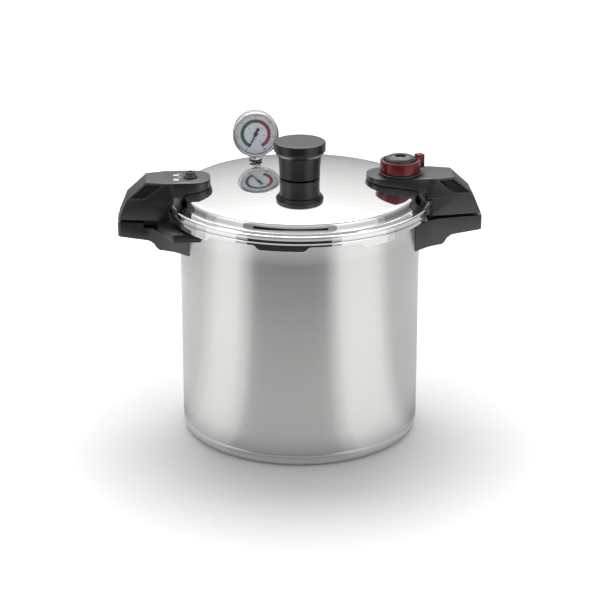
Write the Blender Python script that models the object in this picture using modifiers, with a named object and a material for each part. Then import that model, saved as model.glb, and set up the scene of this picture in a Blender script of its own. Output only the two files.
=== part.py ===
"""Stove-top pressure canner: pot, bayonet lid, handles, knob, gauge, regulator and lock.

Metres, +Z up. The pot's axis is the Z axis and its base rests on z = 0. The cook
stands at -Y. The regulator's handle points along +X and the lock's along -X.
Heights in the script are measured from a datum, DATUM_Z above the surface that the
canner stands on, and canner_frame lifts the whole object by that much.
"""

import math

import bmesh
import bpy
from mathutils import Matrix, Vector

# Small gap left between neighbouring pieces
GAP = 0.0003

# Height of the datum above the floor, and of the floor seen from the datum
DATUM_Z = 0.0220
FLOOR = -DATUM_Z

# Pot
POT_RADIUS = 0.1525
POT_WALL = 0.0030
POT_RIM_Z = 0.2798
BASE_THICKNESS = 0.0032
BASE_FLAT_RADIUS = 0.1425
GROOVE_Z = FLOOR + 0.0165
FLANGE_RADIUS = 0.1570
LUG_RADIUS = 0.1623
LUG_BOTTOM_Z = 0.2743

# Bayonet: pot lugs over lid lugs
LUG_COUNT = 8
FIRST_LUG = math.radians(-101.25)
POT_LUG_ANGLE = math.radians(20.0)
LID_LUG_ANGLE = math.radians(21.3)
LID_NOTCH_TOP_Z = 0.2735

# Lid
LID_CROWN_Z = 0.3120
LID_RISE = 0.0140
LID_DISC_RADIUS = 0.1500
LID_SHEET = 0.0025
SKIRT_RADIUS = 0.1665
SKIRT_INNER_RADIUS = 0.1636
SKIRT_BOTTOM_Z = 0.2680
LEDGE_Z = 0.2870
LID_LUG_RADIUS = 0.1580
LID_LUG_TOP_Z = 0.2726

# Places on the lid (x, y)
GAUGE_XY = (-0.0520, 0.0920)
VENT_XY = (0.1275, 0.0)
LOCK_XY = (-0.1380, 0.0)
PLUG_XY = (0.0120, 0.1000)
HANDLE_SCREW_X = 0.1340
HANDLE_SCREW_Y = 0.0190

# Lid handles
ARM_TOP_Z = 0.3140
ARM_HALF_WIDTH = 0.0280
ARM_ROOT_X = 0.1650
RIGHT_ARM_END = 0.0845
LEFT_ARM_END = 0.1130
GRIP_BOTTOM_Z = 0.2662
GRIP_SHOULDER_Z = 0.2910
HANDLE_LID_GAP = 0.0006

# Pot handles
POT_HANDLE_TOP_Z = 0.2625
POT_HANDLE_FOOT_Z = 0.2280
POT_HANDLE_END = 0.2305
POT_HANDLE_GAP = 0.0004

# Gauge
GAUGE_Z = 0.3440
GAUGE_CASE_RADIUS = 0.0285
GAUGE_BEZEL_RADIUS = 0.0300
NEEDLE_ZERO = math.radians(-155.0)
PINION_RADIUS = 0.0019
SECTOR_RADIUS = 0.0152
SECTOR_PIVOT = (0.0174, 0.0)

# Regulator
REGULATOR_Z = 0.3170
RING_RADIUS = 0.02575
RING_TOP_Z = 0.3320
DOME_RADIUS = 0.02075
DOME_TOP_Z = 0.3370
LEVER_ANGLE = math.radians(26.0)

# Gasket
GASKET_RADIUS = 0.1629

# Rack
RACK_RADIUS = 0.1400
RACK_Z = FLOOR + 0.0150
RACK_SHEET = 0.0020

# Pot handle brackets, rivets and screws
BRACKET_HALF_WIDTH = 0.0160
BRACKET_LOW_Z = 0.2350
BRACKET_HIGH_Z = 0.2590
BRACKET_FACE_X = 0.1568
TONGUE_X = 0.1820
TONGUE_LOW_Z = 0.2460
TONGUE_HIGH_Z = 0.2495
TONGUE_HALF_WIDTH = 0.0120
RIVET_Y = 0.0095
RIVET_Z = 0.2405
RIVET_RADIUS = 0.0024
POT_SCREW_X = 0.1695
SCREW_RADIUS = 0.0024

# Knob
KNOB_FOOT_Z = 0.3125
KNOB_SEAM_Z = 0.3412
KNOB_TOP_Z = 0.3590
KNOB_CAP_RADIUS = 0.03275
KNOB_WAIST_TOP = 0.02765
KNOB_WAIST_FOOT = 0.02565
SPIGOT_RADIUS = 0.0080

ROUND_LARGE = 48
ROUND_MEDIUM = 24
ROUND_SMALL = 12


# ---------------------------------------------------------------- scene and materials

def clear_scene():
    """Remove the startup objects."""
    for thing in list(bpy.data.objects):
        bpy.data.objects.remove(thing, do_unlink=True)


def new_collection(name):
    """Make a collection in the scene."""
    collection = bpy.data.collections.new(name)
    bpy.context.scene.collection.children.link(collection)
    return collection


def new_material(name, colour, roughness, metallic, alpha=1.0):
    """Make a Principled material of one finish."""
    material = bpy.data.materials.new(name)
    material.use_nodes = True
    shader = material.node_tree.nodes["Principled BSDF"]
    shader.inputs["Base Color"].default_value = (*colour, 1.0)
    shader.inputs["Roughness"].default_value = roughness
    shader.inputs["Metallic"].default_value = metallic
    shader.inputs["Alpha"].default_value = alpha
    return material


clear_scene()
PARTS = new_collection("pressure_canner")
CUTTERS = new_collection("cutters")
CANNER_FRAME = bpy.data.objects.new("canner_frame", None)
CANNER_FRAME.location = (0.0, 0.0, DATUM_Z)
PARTS.objects.link(CANNER_FRAME)

BRUSHED = new_material("brushed_aluminium", (0.72, 0.72, 0.71), 0.35, 1.0)
POLISHED = new_material("polished_aluminium", (0.88, 0.88, 0.87), 0.06, 1.0)
STEEL = new_material("bright_steel", (0.60, 0.60, 0.60), 0.25, 1.0)
BRASS = new_material("brass", (0.75, 0.58, 0.28), 0.30, 1.0)
BLACK = new_material("black_phenolic", (0.025, 0.025, 0.027), 0.45, 0.0)
RED = new_material("red_plastic", (0.45, 0.02, 0.03), 0.20, 0.0)
RUBBER = new_material("grey_rubber", (0.08, 0.08, 0.08), 0.80, 0.0)
DIAL_WHITE = new_material("dial_white", (0.80, 0.84, 0.87), 0.50, 0.0)
GLASS = new_material("clear_glass", (0.95, 0.97, 0.98), 0.02, 0.0, alpha=0.3)
NEEDLE_BLACK = new_material("needle_black", (0.02, 0.02, 0.02), 0.50, 0.0)


# ---------------------------------------------------------------- modelling helpers

def add_frame(name, location=(0.0, 0.0, 0.0), parent=None, turn_to_front=False):
    """Add an empty that carries a sub-assembly; turned, its +Z faces the cook."""
    frame = bpy.data.objects.new(name, None)
    PARTS.objects.link(frame)
    frame.parent = parent
    frame.location = location
    if turn_to_front:
        frame.rotation_euler = (math.pi / 2, 0.0, 0.0)
    return frame


def finish(name, mesh, material, parent=None, location=(0.0, 0.0, 0.0)):
    """Turn a mesh into a named, shaded part of the canner."""
    part = bpy.data.objects.new(name, mesh)
    PARTS.objects.link(part)
    mesh.materials.append(material)
    mesh.shade_smooth()
    mesh.set_sharp_from_angle(angle=math.radians(35.0))
    part.parent = parent
    part.location = location
    return part


def turned(name, profile, material, parent=None, location=(0.0, 0.0, 0.0), steps=ROUND_MEDIUM, closed=False):
    """Turn a profile of (radius, height) points about Z; its outer side runs downwards."""
    mesh = bpy.data.meshes.new(name)
    edges = [(i, i + 1) for i in range(len(profile) - 1)]
    if closed:
        edges.append((len(profile) - 1, 0))
    mesh.from_pydata([(radius, 0.0, height) for radius, height in profile], edges, [])
    part = finish(name, mesh, material, parent, location)
    screw = part.modifiers.new("turn", "SCREW")
    screw.axis = "Z"
    screw.angle = 2 * math.pi
    screw.steps = steps
    screw.render_steps = steps
    screw.use_merge_vertices = True
    screw.merge_threshold = 0.00001
    screw.use_smooth_shade = True
    return part


def prism(bm, outline, low, high):
    """Add an upright prism of an (x, y) outline to a mesh under construction."""
    ring = [bm.verts.new((x, y, low)) for x, y in outline]
    bottom = bm.faces.new(ring)
    grown = bmesh.ops.extrude_face_region(bm, geom=[bottom])
    raised = [item for item in grown["geom"] if isinstance(item, bmesh.types.BMVert)]
    bmesh.ops.translate(bm, vec=(0.0, 0.0, high - low), verts=raised)


def cylinder(bm, centre, radius, low, high, sides=ROUND_SMALL):
    """Add an upright cylinder, with a flat side facing +X, to a mesh under construction."""
    place = Matrix.Translation((centre[0], centre[1], (low + high) / 2))
    bmesh.ops.create_cone(
        bm, cap_ends=True, segments=sides, radius1=radius, radius2=radius, depth=high - low, matrix=place
    )


def mesh_from(name, build):
    """Run a function that fills a mesh, and face it outwards."""
    bm = bmesh.new()
    build(bm)
    bmesh.ops.recalc_face_normals(bm, faces=bm.faces[:])
    mesh = bpy.data.meshes.new(name)
    bm.to_mesh(mesh)
    bm.free()
    return mesh


def solid(name, build, material, parent=None, location=(0.0, 0.0, 0.0)):
    """Make a part whose mesh a function fills."""
    return finish(name, mesh_from(name, build), material, parent, location)


def cutter(name, build, parent=CANNER_FRAME, location=(0.0, 0.0, 0.0)):
    """Make a hidden tool body for a Boolean."""
    tool = bpy.data.objects.new(name, mesh_from(name, build))
    CUTTERS.objects.link(tool)
    tool.parent = parent
    tool.location = location
    tool.hide_render = True
    tool.display_type = "WIRE"
    return tool


def combine(part, tool, operation="DIFFERENCE"):
    """Cut a part with a tool body, join them, or keep what they share."""
    boolean = part.modifiers.new(tool.name, "BOOLEAN")
    boolean.operation = operation
    boolean.solver = "EXACT"
    boolean.object = tool
    return boolean


def arc(centre, radius, start, end, count):
    """Points on an arc, from one angle in degrees to another."""
    points = []
    for i in range(count + 1):
        angle = math.radians(start + (end - start) * i / count)
        points.append((centre[0] + radius * math.cos(angle), centre[1] + radius * math.sin(angle)))
    return points


def sector(centre_angle, width, inner, outer, count=3):
    """Plan outline of a piece of a ring."""
    half = width / 2
    angles = [centre_angle - half + width * i / count for i in range(count + 1)]
    outside = [(outer * math.cos(a), outer * math.sin(a)) for a in angles]
    inside = [(inner * math.cos(a), inner * math.sin(a)) for a in reversed(angles)]
    return outside + inside


def box(bm, low, high):
    """Add a box between two corners to a mesh under construction."""
    outline = [(low[0], low[1]), (high[0], low[1]), (high[0], high[1]), (low[0], high[1])]
    prism(bm, outline, low[2], high[2])


def hexagon(bm, radius, low, high):
    """Add a six-sided prism on the axis to a mesh under construction."""
    cylinder(bm, (0.0, 0.0), radius, low, high, sides=6)


def lid_height(radius):
    """Height of the lid's outer face at a distance from the axis."""
    return LID_CROWN_Z - LID_RISE * (radius / LID_DISC_RADIUS) ** 2


# ---------------------------------------------------------------- pot

def make_pot(frame):
    """Spun pot with a turned base groove and eight lugs on its rim flange."""
    inner = POT_RADIUS - POT_WALL
    floor_inside = FLOOR + BASE_THICKNESS
    profile = [
        (0.0, floor_inside),
        (inner - 0.0085, floor_inside),
        (inner - 0.0030, floor_inside + 0.0020),
        (inner, floor_inside + 0.0070),
        (inner, POT_RIM_Z - 0.0005),
        (inner + 0.0005, POT_RIM_Z),
        (LUG_RADIUS - 0.0005, POT_RIM_Z),
        (LUG_RADIUS, POT_RIM_Z - 0.0005),
        (LUG_RADIUS, LUG_BOTTOM_Z + 0.0005),
        (LUG_RADIUS - 0.0005, LUG_BOTTOM_Z),
        (POT_RADIUS + 0.0020, LUG_BOTTOM_Z),
        (POT_RADIUS, LUG_BOTTOM_Z - 0.0020),
        (POT_RADIUS, GROOVE_Z + 0.0018),
        (POT_RADIUS - 0.0015, GROOVE_Z + 0.0007),
        (POT_RADIUS - 0.0015, GROOVE_Z - 0.0007),
        (POT_RADIUS - 0.0005, GROOVE_Z - 0.0018),
        (POT_RADIUS - 0.0010, FLOOR + 0.0090),
        (POT_RADIUS - 0.0032, FLOOR + 0.0040),
        (POT_RADIUS - 0.0065, FLOOR + 0.0011),
        (BASE_FLAT_RADIUS, FLOOR),
        (0.0, FLOOR),
    ]
    pot = turned("pot_shell", profile, BRUSHED, frame, steps=ROUND_LARGE)

    def gaps(bm):
        step = 2 * math.pi / LUG_COUNT
        for i in range(LUG_COUNT):
            middle = FIRST_LUG + (i + 0.5) * step
            prism(bm, sector(middle, step - POT_LUG_ANGLE, FLANGE_RADIUS, 0.170), 0.2720, 0.2820)

    combine(pot, cutter("pot_lug_gaps", gaps))

    def rivet_holes(bm):
        for side in (-1, 1):
            for y in (-RIVET_Y, RIVET_Y):
                start = bm.verts[:]
                cylinder(bm, (0.0, 0.0), RIVET_RADIUS + GAP, 0.140, 0.165, sides=8)
                fresh = [v for v in bm.verts if v not in start]
                turn = Matrix.Rotation(side * math.pi / 2, 4, "Y")
                move = Matrix.Translation((0.0, y, RIVET_Z))
                bmesh.ops.transform(bm, matrix=move @ turn, verts=fresh)

    combine(pot, cutter("rivet_holes", rivet_holes))
    return pot


def make_bracket(side, word, frame):
    """Steel angle riveted to the pot wall, whose tongue takes the handle's screw."""
    def plate(bm):
        box(bm, (0.1500, -BRACKET_HALF_WIDTH, BRACKET_LOW_Z), (BRACKET_FACE_X, BRACKET_HALF_WIDTH, BRACKET_HIGH_Z))

    def tongue(bm):
        box(bm, (0.1550, -TONGUE_HALF_WIDTH, TONGUE_LOW_Z), (TONGUE_X, TONGUE_HALF_WIDTH, TONGUE_HIGH_Z))

    def wall(bm):
        cylinder(bm, (0.0, 0.0), POT_RADIUS + GAP, 0.220, 0.270, sides=ROUND_LARGE)

    def holes(bm):
        cylinder(bm, (POT_SCREW_X, 0.0), SCREW_RADIUS + GAP, 0.240, 0.255, sides=12)
        for y in (-RIVET_Y, RIVET_Y):
            start = bm.verts[:]
            cylinder(bm, (0.0, 0.0), RIVET_RADIUS + GAP, 0.148, 0.160, sides=8)
            fresh = [v for v in bm.verts if v not in start]
            move = Matrix.Translation((0.0, y, RIVET_Z))
            bmesh.ops.transform(bm, matrix=move @ Matrix.Rotation(math.pi / 2, 4, "Y"), verts=fresh)

    turn = math.pi if side < 0 else 0.0
    bracket = solid(f"pot_bracket_{word}", plate, STEEL, frame)
    tools = [
        (cutter(f"bracket_tongue_{word}", tongue), "UNION"),
        (cutter(f"bracket_wall_{word}", wall), "DIFFERENCE"),
        (cutter(f"bracket_holes_{word}", holes), "DIFFERENCE"),
    ]
    bracket.rotation_euler = (0.0, 0.0, turn)
    for tool, operation in tools:
        tool.rotation_euler = (0.0, 0.0, turn)
        combine(bracket, tool, operation)
    return bracket


def make_rivets(side, word, frame):
    """Two round-headed rivets through the pot wall and the bracket."""
    head_inside = POT_RADIUS - POT_WALL - 0.0013
    profile = [
        (0.0, 0.1590),
        (0.0034, 0.1588),
        (0.0045, BRACKET_FACE_X + GAP),
        (RIVET_RADIUS, BRACKET_FACE_X + GAP),
        (RIVET_RADIUS, head_inside),
        (0.0050, head_inside),
        (0.0046, head_inside - 0.0012),
        (0.0, head_inside - 0.0020),
    ]
    for y, row in ((-RIVET_Y, "front"), (RIVET_Y, "back")):
        rivet = turned(f"pot_rivet_{word}_{row}", profile, STEEL, frame, (0.0, y, RIVET_Z), steps=12)
        rivet.rotation_euler = (0.0, side * math.pi / 2, 0.0)


def make_pot_handle(side, word, frame):
    """Moulded handle that wraps the pot wall; the lock side carries a catch shelf."""
    plan = [
        (side * x, y)
        for x, y in [
            (0.1300, -0.0660), (0.1430, -0.0560), (0.1600, -0.0400), (0.1745, -0.0320), (0.1945, -0.0270),
            (0.2272, -0.0220), (POT_HANDLE_END, -0.0190), (POT_HANDLE_END, 0.0190), (0.2272, 0.0220),
            (0.1945, 0.0270), (0.1745, 0.0320), (0.1600, 0.0400), (0.1430, 0.0560), (0.1300, 0.0660),
        ]
    ]
    side_view = [
        (0.1250, POT_HANDLE_FOOT_Z), (0.1785, POT_HANDLE_FOOT_Z), (0.1820, 0.2305), (0.1855, 0.2360),
        (0.1915, 0.2398), (0.2480, 0.2460), (0.2480, 0.2700), (0.1250, 0.2700),
    ]

    def block(bm):
        prism(bm, plan, POT_HANDLE_FOOT_Z - 0.005, POT_HANDLE_TOP_Z)

    def outline(bm):
        prism(bm, [(side * x, z) for x, z in side_view], -0.090, 0.090)
        bmesh.ops.transform(bm, matrix=Matrix.Rotation(math.pi / 2, 4, "X"), verts=bm.verts[:])

    def wall(bm):
        cylinder(bm, (0.0, 0.0), POT_RADIUS + POT_HANDLE_GAP, 0.200, 0.280, sides=ROUND_LARGE)

    def pocket(bm):
        gap = 2 * GAP
        face = 0.1600
        half = BRACKET_HALF_WIDTH + gap
        box(bm, (0.140, -half, BRACKET_LOW_Z - gap), (face, half, BRACKET_HIGH_Z + gap))

    def slot(bm):
        gap = 2 * GAP
        half = TONGUE_HALF_WIDTH + gap
        box(bm, (0.150, -half, TONGUE_LOW_Z - gap), (TONGUE_X + gap, half, 0.2540))

    def screw_hole(bm):
        cylinder(bm, (POT_SCREW_X, 0.0), SCREW_RADIUS + GAP, 0.2200, 0.2480, sides=12)

    def counterbore(bm):
        cylinder(bm, (POT_SCREW_X, 0.0), 0.0056, 0.2200, 0.2330, sides=12)

    handle = solid(f"pot_handle_{word}", block, BLACK, frame)
    combine(handle, cutter(f"handle_outline_{word}", outline), "INTERSECT")
    if side < 0:
        combine(handle, cutter("catch_shelf", catch_shelf), "UNION")
        combine(handle, cutter("sight_notch", sight_notch))
    combine(handle, cutter(f"handle_wall_{word}", wall))
    turn = math.pi if side < 0 else 0.0
    for tool_name, build in (("pocket", pocket), ("slot", slot), ("screw_hole", screw_hole), ("bore", counterbore)):
        tool = cutter(f"handle_{tool_name}_{word}", build)
        tool.rotation_euler = (0.0, 0.0, turn)
        combine(handle, tool)
    return handle


def catch_shelf(bm):
    """Wedge on the lock side, over which the lid handle rests when the lid is open."""
    outline = [(-0.1900, -0.0200), (-0.1730, -0.0560), (-0.1610, -0.0830), (-0.1270, -0.0830), (-0.1300, -0.0200)]
    prism(bm, outline, 0.2550, 0.2652)


def sight_notch(bm):
    """Notch in the top edge of the lock side's pot handle."""
    box(bm, (-0.1980, -0.0400, 0.2562), (-0.1790, -0.0140, 0.2700))


def make_pot_screw(side, word, frame):
    """Pan-headed screw that pulls a pot handle onto its bracket."""
    profile = [
        (0.0, 0.2525),
        (SCREW_RADIUS - 0.0005, 0.2525),
        (SCREW_RADIUS, 0.2518),
        (SCREW_RADIUS, 0.2327),
        (0.0050, 0.2327),
        (0.0050, 0.2308),
        (0.0036, 0.2296),
        (0.0, 0.2292),
    ]
    turned(f"pot_handle_screw_{word}", profile, STEEL, frame, (side * POT_SCREW_X, 0.0, 0.0), steps=ROUND_SMALL)


def make_rack(frame):
    """Perforated rack that keeps jars off the pot's base."""
    lip = RACK_RADIUS - RACK_SHEET
    foot = FLOOR + BASE_THICKNESS + GAP
    profile = [
        (0.0, RACK_Z),
        (lip - 0.0050, RACK_Z),
        (RACK_RADIUS - 0.0010, RACK_Z - 0.0010),
        (RACK_RADIUS, RACK_Z - 0.0030),
        (RACK_RADIUS, foot),
        (lip, foot),
        (lip, RACK_Z - 0.0030),
        (lip - 0.0040, RACK_Z - RACK_SHEET),
        (0.0, RACK_Z - RACK_SHEET),
    ]
    rack = turned("canning_rack", profile, BRUSHED, frame, steps=ROUND_LARGE)

    def perforations(bm):
        cylinder(bm, (0.0, 0.0), 0.0120, FLOOR, 0.0, sides=12)
        for ring_radius, count in ((0.0500, 6), (0.0980, 10)):
            for x, y in arc((0.0, 0.0), ring_radius, 0.0, 360.0, count)[:-1]:
                cylinder(bm, (x, y), 0.0085, FLOOR, 0.0, sides=8)

    combine(rack, cutter("rack_holes", perforations))


# ---------------------------------------------------------------- lid

def dome_points(drop, reach, count=6):
    """Points of the lid's crown from the axis outwards, a sheet thickness down if wanted."""
    points = []
    for i in range(count + 1):
        radius = reach * i / count
        points.append((radius, lid_height(radius) - drop))
    return points


def lid_outer_profile():
    """Outer face of the lid, from the crown to the foot of the skirt."""
    points = dome_points(0.0, LID_DISC_RADIUS - 0.0040)
    points += [
        (LID_DISC_RADIUS - 0.0014, 0.2976),
        (LID_DISC_RADIUS + 0.0004, 0.2956),
        (LID_DISC_RADIUS + 0.0022, LEDGE_Z + 0.0016),
        (LID_DISC_RADIUS + 0.0034, LEDGE_Z + 0.0003),
        (0.1640, LEDGE_Z),
        (0.1652, LEDGE_Z + 0.0011),
        (0.1672, LEDGE_Z + 0.0010),
        (0.1683, LEDGE_Z - 0.0006),
        (0.1676, LEDGE_Z - 0.0023),
        (SKIRT_RADIUS, LEDGE_Z - 0.0031),
        (SKIRT_RADIUS, 0.2786),
        (SKIRT_RADIUS + 0.0004, 0.2781),
        (SKIRT_RADIUS, 0.2776),
        (SKIRT_RADIUS, SKIRT_BOTTOM_Z),
    ]
    return points


def make_lid(frame):
    """Pressed lid: crown, gasket channel, rolled bead and notched skirt with inward lugs."""
    underside = list(reversed(dome_points(LID_SHEET, LID_DISC_RADIUS - 0.0060)))
    profile = lid_outer_profile() + [
        (LID_LUG_RADIUS, SKIRT_BOTTOM_Z),
        (LID_LUG_RADIUS, LID_LUG_TOP_Z),
        (SKIRT_INNER_RADIUS, LID_LUG_TOP_Z),
        (SKIRT_INNER_RADIUS, LEDGE_Z - 0.0027),
        (LID_DISC_RADIUS + 0.0009, LEDGE_Z - 0.0027),
        (LID_DISC_RADIUS - 0.0008, LEDGE_Z - 0.0005),
        (LID_DISC_RADIUS - 0.0023, 0.2944),
    ] + underside
    lid = turned("lid_shell", profile, POLISHED, frame, steps=ROUND_LARGE)

    def notches(bm):
        step = 2 * math.pi / LUG_COUNT
        for i in range(LUG_COUNT):
            middle = FIRST_LUG + (i + 0.5) * step
            prism(bm, sector(middle, step - LID_LUG_ANGLE, 0.1540, 0.1720), 0.2600, LID_NOTCH_TOP_Z)

    def holes(bm):
        cylinder(bm, (0.0, 0.0), 0.0034, 0.300, 0.320, sides=12)
        cylinder(bm, VENT_XY, 0.0060, 0.290, 0.310, sides=12)
        cylinder(bm, LOCK_XY, 0.0052, 0.290, 0.310, sides=12)
        cylinder(bm, GAUGE_XY, 0.0052, 0.290, 0.315, sides=12)
        cylinder(bm, PLUG_XY, 0.0050, 0.290, 0.315, sides=12)
        for x in (-HANDLE_SCREW_X, HANDLE_SCREW_X):
            for y in (-HANDLE_SCREW_Y, HANDLE_SCREW_Y):
                cylinder(bm, (x, y), SCREW_RADIUS + 2 * GAP, 0.290, 0.310, sides=8)

    combine(lid, cutter("lid_notches", notches))
    combine(lid, cutter("lid_holes", holes))
    return lid


def make_gasket(frame):
    """Flat lipped rubber ring in the lid's channel."""
    top = LEDGE_Z - 0.0027 - GAP
    foot = POT_RIM_Z + GAP
    profile = [
        (GASKET_RADIUS - 0.0003, top),
        (GASKET_RADIUS, top - 0.0006),
        (GASKET_RADIUS, foot + 0.0006),
        (GASKET_RADIUS - 0.0006, foot),
        (0.1590, foot),
        (0.1570, foot + 0.0012),
        (0.1545, foot + 0.0012),
        (0.1525, foot),
        (0.1507, foot + 0.0004),
        (0.1509, top - 0.0004),
        (0.1515, top),
    ]
    turned("lid_gasket", profile, RUBBER, frame, steps=ROUND_LARGE, closed=True)


def make_lid_clearance():
    """Tool body of the lid's own shape, grown by the gap under the handles."""
    profile = [(0.0, LID_CROWN_Z + HANDLE_LID_GAP)]
    for radius, height in lid_outer_profile()[1:14]:
        profile.append((radius + HANDLE_LID_GAP, height + HANDLE_LID_GAP))
    reach = 0.1683 + HANDLE_LID_GAP
    profile += [(reach, LEDGE_Z), (reach, 0.2500), (0.0, 0.2500)]
    tool = turned("lid_clearance", profile, POLISHED, CANNER_FRAME, steps=ROUND_LARGE)
    PARTS.objects.unlink(tool)
    CUTTERS.objects.link(tool)
    tool.hide_render = True
    tool.display_type = "WIRE"
    return tool


def arm_outline(side, end, corner):
    """Plan of a lid handle's arm with a round inner end."""
    half = ARM_HALF_WIDTH
    points = [(ARM_ROOT_X + 0.006, half)]
    points += arc((end + corner, half - corner), corner, 90.0, 180.0, 4)
    points += arc((end + corner, corner - half), corner, 180.0, 270.0, 4)
    points.append((ARM_ROOT_X + 0.006, -half))
    return [(side * x, y) for x, y in points]


def grip_points(side):
    """Corners of a lid handle's faceted grip."""
    corners = [
        (0.1600, 0.0280, ARM_TOP_Z),
        (0.1710, 0.0275, ARM_TOP_Z),
        (0.1940, 0.0205, ARM_TOP_Z),
        (0.2185, 0.0232, GRIP_SHOULDER_Z),
        (0.1965, 0.0270, GRIP_SHOULDER_Z),
        (0.2290, 0.0215, GRIP_BOTTOM_Z),
        (0.1600, 0.0320, GRIP_BOTTOM_Z),
        (0.1600, 0.0315, GRIP_SHOULDER_Z),
    ]
    return [Vector((side * x, sign * y, z)) for x, y, z in corners for sign in (-1, 1)]


def grip_panel(side, face):
    """Tool body of the sunk panel in the slanted face of a grip."""
    def build(bm):
        corners = [
            (0.1745, 0.0262, 0.3110),
            (0.1925, 0.0205, 0.3110),
            (0.2145, 0.0232, 0.2940),
            (0.1955, 0.0266, 0.2940),
        ]
        shallow = [bm.verts.new((side * x, face * (y - 0.0012), z)) for x, y, z in corners]
        bottom = bm.faces.new(shallow)
        grown = bmesh.ops.extrude_face_region(bm, geom=[bottom])
        raised = [item for item in grown["geom"] if isinstance(item, bmesh.types.BMVert)]
        bmesh.ops.translate(bm, vec=(0.0, face * 0.0100, 0.0), verts=raised)
    return build


def make_lid_handle(side, word, end, corner, bore, clearance, frame):
    """Moulded lid handle: faceted grip and an arm lying over the lid."""
    def grip(bm):
        for point in grip_points(side):
            bm.verts.new(point)
        made = bmesh.ops.convex_hull(bm, input=bm.verts[:])
        bmesh.ops.delete(bm, geom=made["geom_unused"] + made["geom_interior"], context="VERTS")
        bmesh.ops.dissolve_limit(bm, angle_limit=math.radians(1.0), verts=bm.verts[:], edges=bm.edges[:])

    def arm(bm):
        prism(bm, arm_outline(side, end, corner), 0.2950, ARM_TOP_Z)

    def holes(bm):
        centre = VENT_XY if side > 0 else LOCK_XY
        cylinder(bm, centre, bore, 0.290, 0.330, sides=ROUND_SMALL)
        for y in (-HANDLE_SCREW_Y, HANDLE_SCREW_Y):
            cylinder(bm, (side * HANDLE_SCREW_X, y), SCREW_RADIUS + 2 * GAP, 0.290, 0.3105, sides=8)

    handle = solid(f"lid_handle_{word}", grip, BLACK, frame)
    combine(handle, cutter(f"arm_{word}", arm), "UNION")
    combine(handle, clearance)
    combine(handle, cutter(f"arm_holes_{word}", holes))
    for face, row in ((-1, "front"), (1, "back")):
        combine(handle, cutter(f"panel_{word}_{row}", grip_panel(side, face)))
    return handle


def make_lid_handle_screws(side, word, frame):
    """Screws from inside the lid up into a handle's arm."""
    under = lid_height(math.hypot(HANDLE_SCREW_X, HANDLE_SCREW_Y)) - LID_SHEET - 0.0011
    profile = [
        (0.0, 0.3098),
        (SCREW_RADIUS - 0.0005, 0.3098),
        (SCREW_RADIUS, 0.3090),
        (SCREW_RADIUS, under),
        (0.0045, under),
        (0.0045, under - 0.0015),
        (0.0034, under - 0.0026),
        (0.0, under - 0.0029),
    ]
    for y, row in ((-HANDLE_SCREW_Y, "front"), (HANDLE_SCREW_Y, "back")):
        place = (side * HANDLE_SCREW_X, y, 0.0)
        turned(f"lid_handle_screw_{word}_{row}", profile, STEEL, frame, place, steps=12)


# ---------------------------------------------------------------- knob


def make_knob(frame):
    """Two-piece knob with a brass insert, held by one screw from inside the lid."""
    body = [
        (SPIGOT_RADIUS + GAP, KNOB_SEAM_Z),
        (KNOB_WAIST_TOP - 0.0010, KNOB_SEAM_Z),
        (KNOB_WAIST_TOP, KNOB_SEAM_Z - 0.0008),
        (0.0268, 0.3350),
        (0.0259, 0.3260),
        (0.0256, 0.3190),
        (KNOB_WAIST_FOOT, KNOB_FOOT_Z + 0.0008),
        (KNOB_WAIST_FOOT - 0.0008, KNOB_FOOT_Z),
        (0.0053, KNOB_FOOT_Z),
        (0.0053, 0.3265),
        (SPIGOT_RADIUS + GAP, 0.3265),
    ]
    turned("knob_body", body, BLACK, frame, closed=True)
    cap = [
        (0.0, KNOB_TOP_Z),
        (0.0270, KNOB_TOP_Z),
        (KNOB_CAP_RADIUS - 0.0016, KNOB_TOP_Z - 0.0005),
        (KNOB_CAP_RADIUS, KNOB_TOP_Z - 0.0022),
        (KNOB_CAP_RADIUS, 0.3466),
        (KNOB_CAP_RADIUS - 0.0010, 0.3452),
        (KNOB_WAIST_TOP + 0.0004, KNOB_SEAM_Z + GAP),
        (SPIGOT_RADIUS, KNOB_SEAM_Z + GAP),
        (SPIGOT_RADIUS, 0.3330),
        (0.0, 0.3330),
    ]
    turned("knob_cap", cap, BLACK, frame)
    insert = [(0.0050, 0.3260), (0.0050, 0.3130), (0.0030, 0.3130), (0.0030, 0.3260)]
    turned("knob_insert", insert, BRASS, frame, steps=12, closed=True)
    washer = [(0.0080, 0.3090), (0.0080, 0.3080), (0.0032, 0.3080), (0.0032, 0.3090)]
    turned("knob_washer", washer, STEEL, frame, steps=ROUND_SMALL, closed=True)
    screw = [
        (0.0, 0.3240),
        (0.0021, 0.3240),
        (0.0027, 0.3232),
        (0.0027, 0.3077),
        (0.0060, 0.3077),
        (0.0060, 0.3062),
        (0.0045, 0.3048),
        (0.0, 0.3044),
    ]
    turned("knob_screw", screw, STEEL, frame, steps=ROUND_SMALL)


# ---------------------------------------------------------------- gauge

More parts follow.
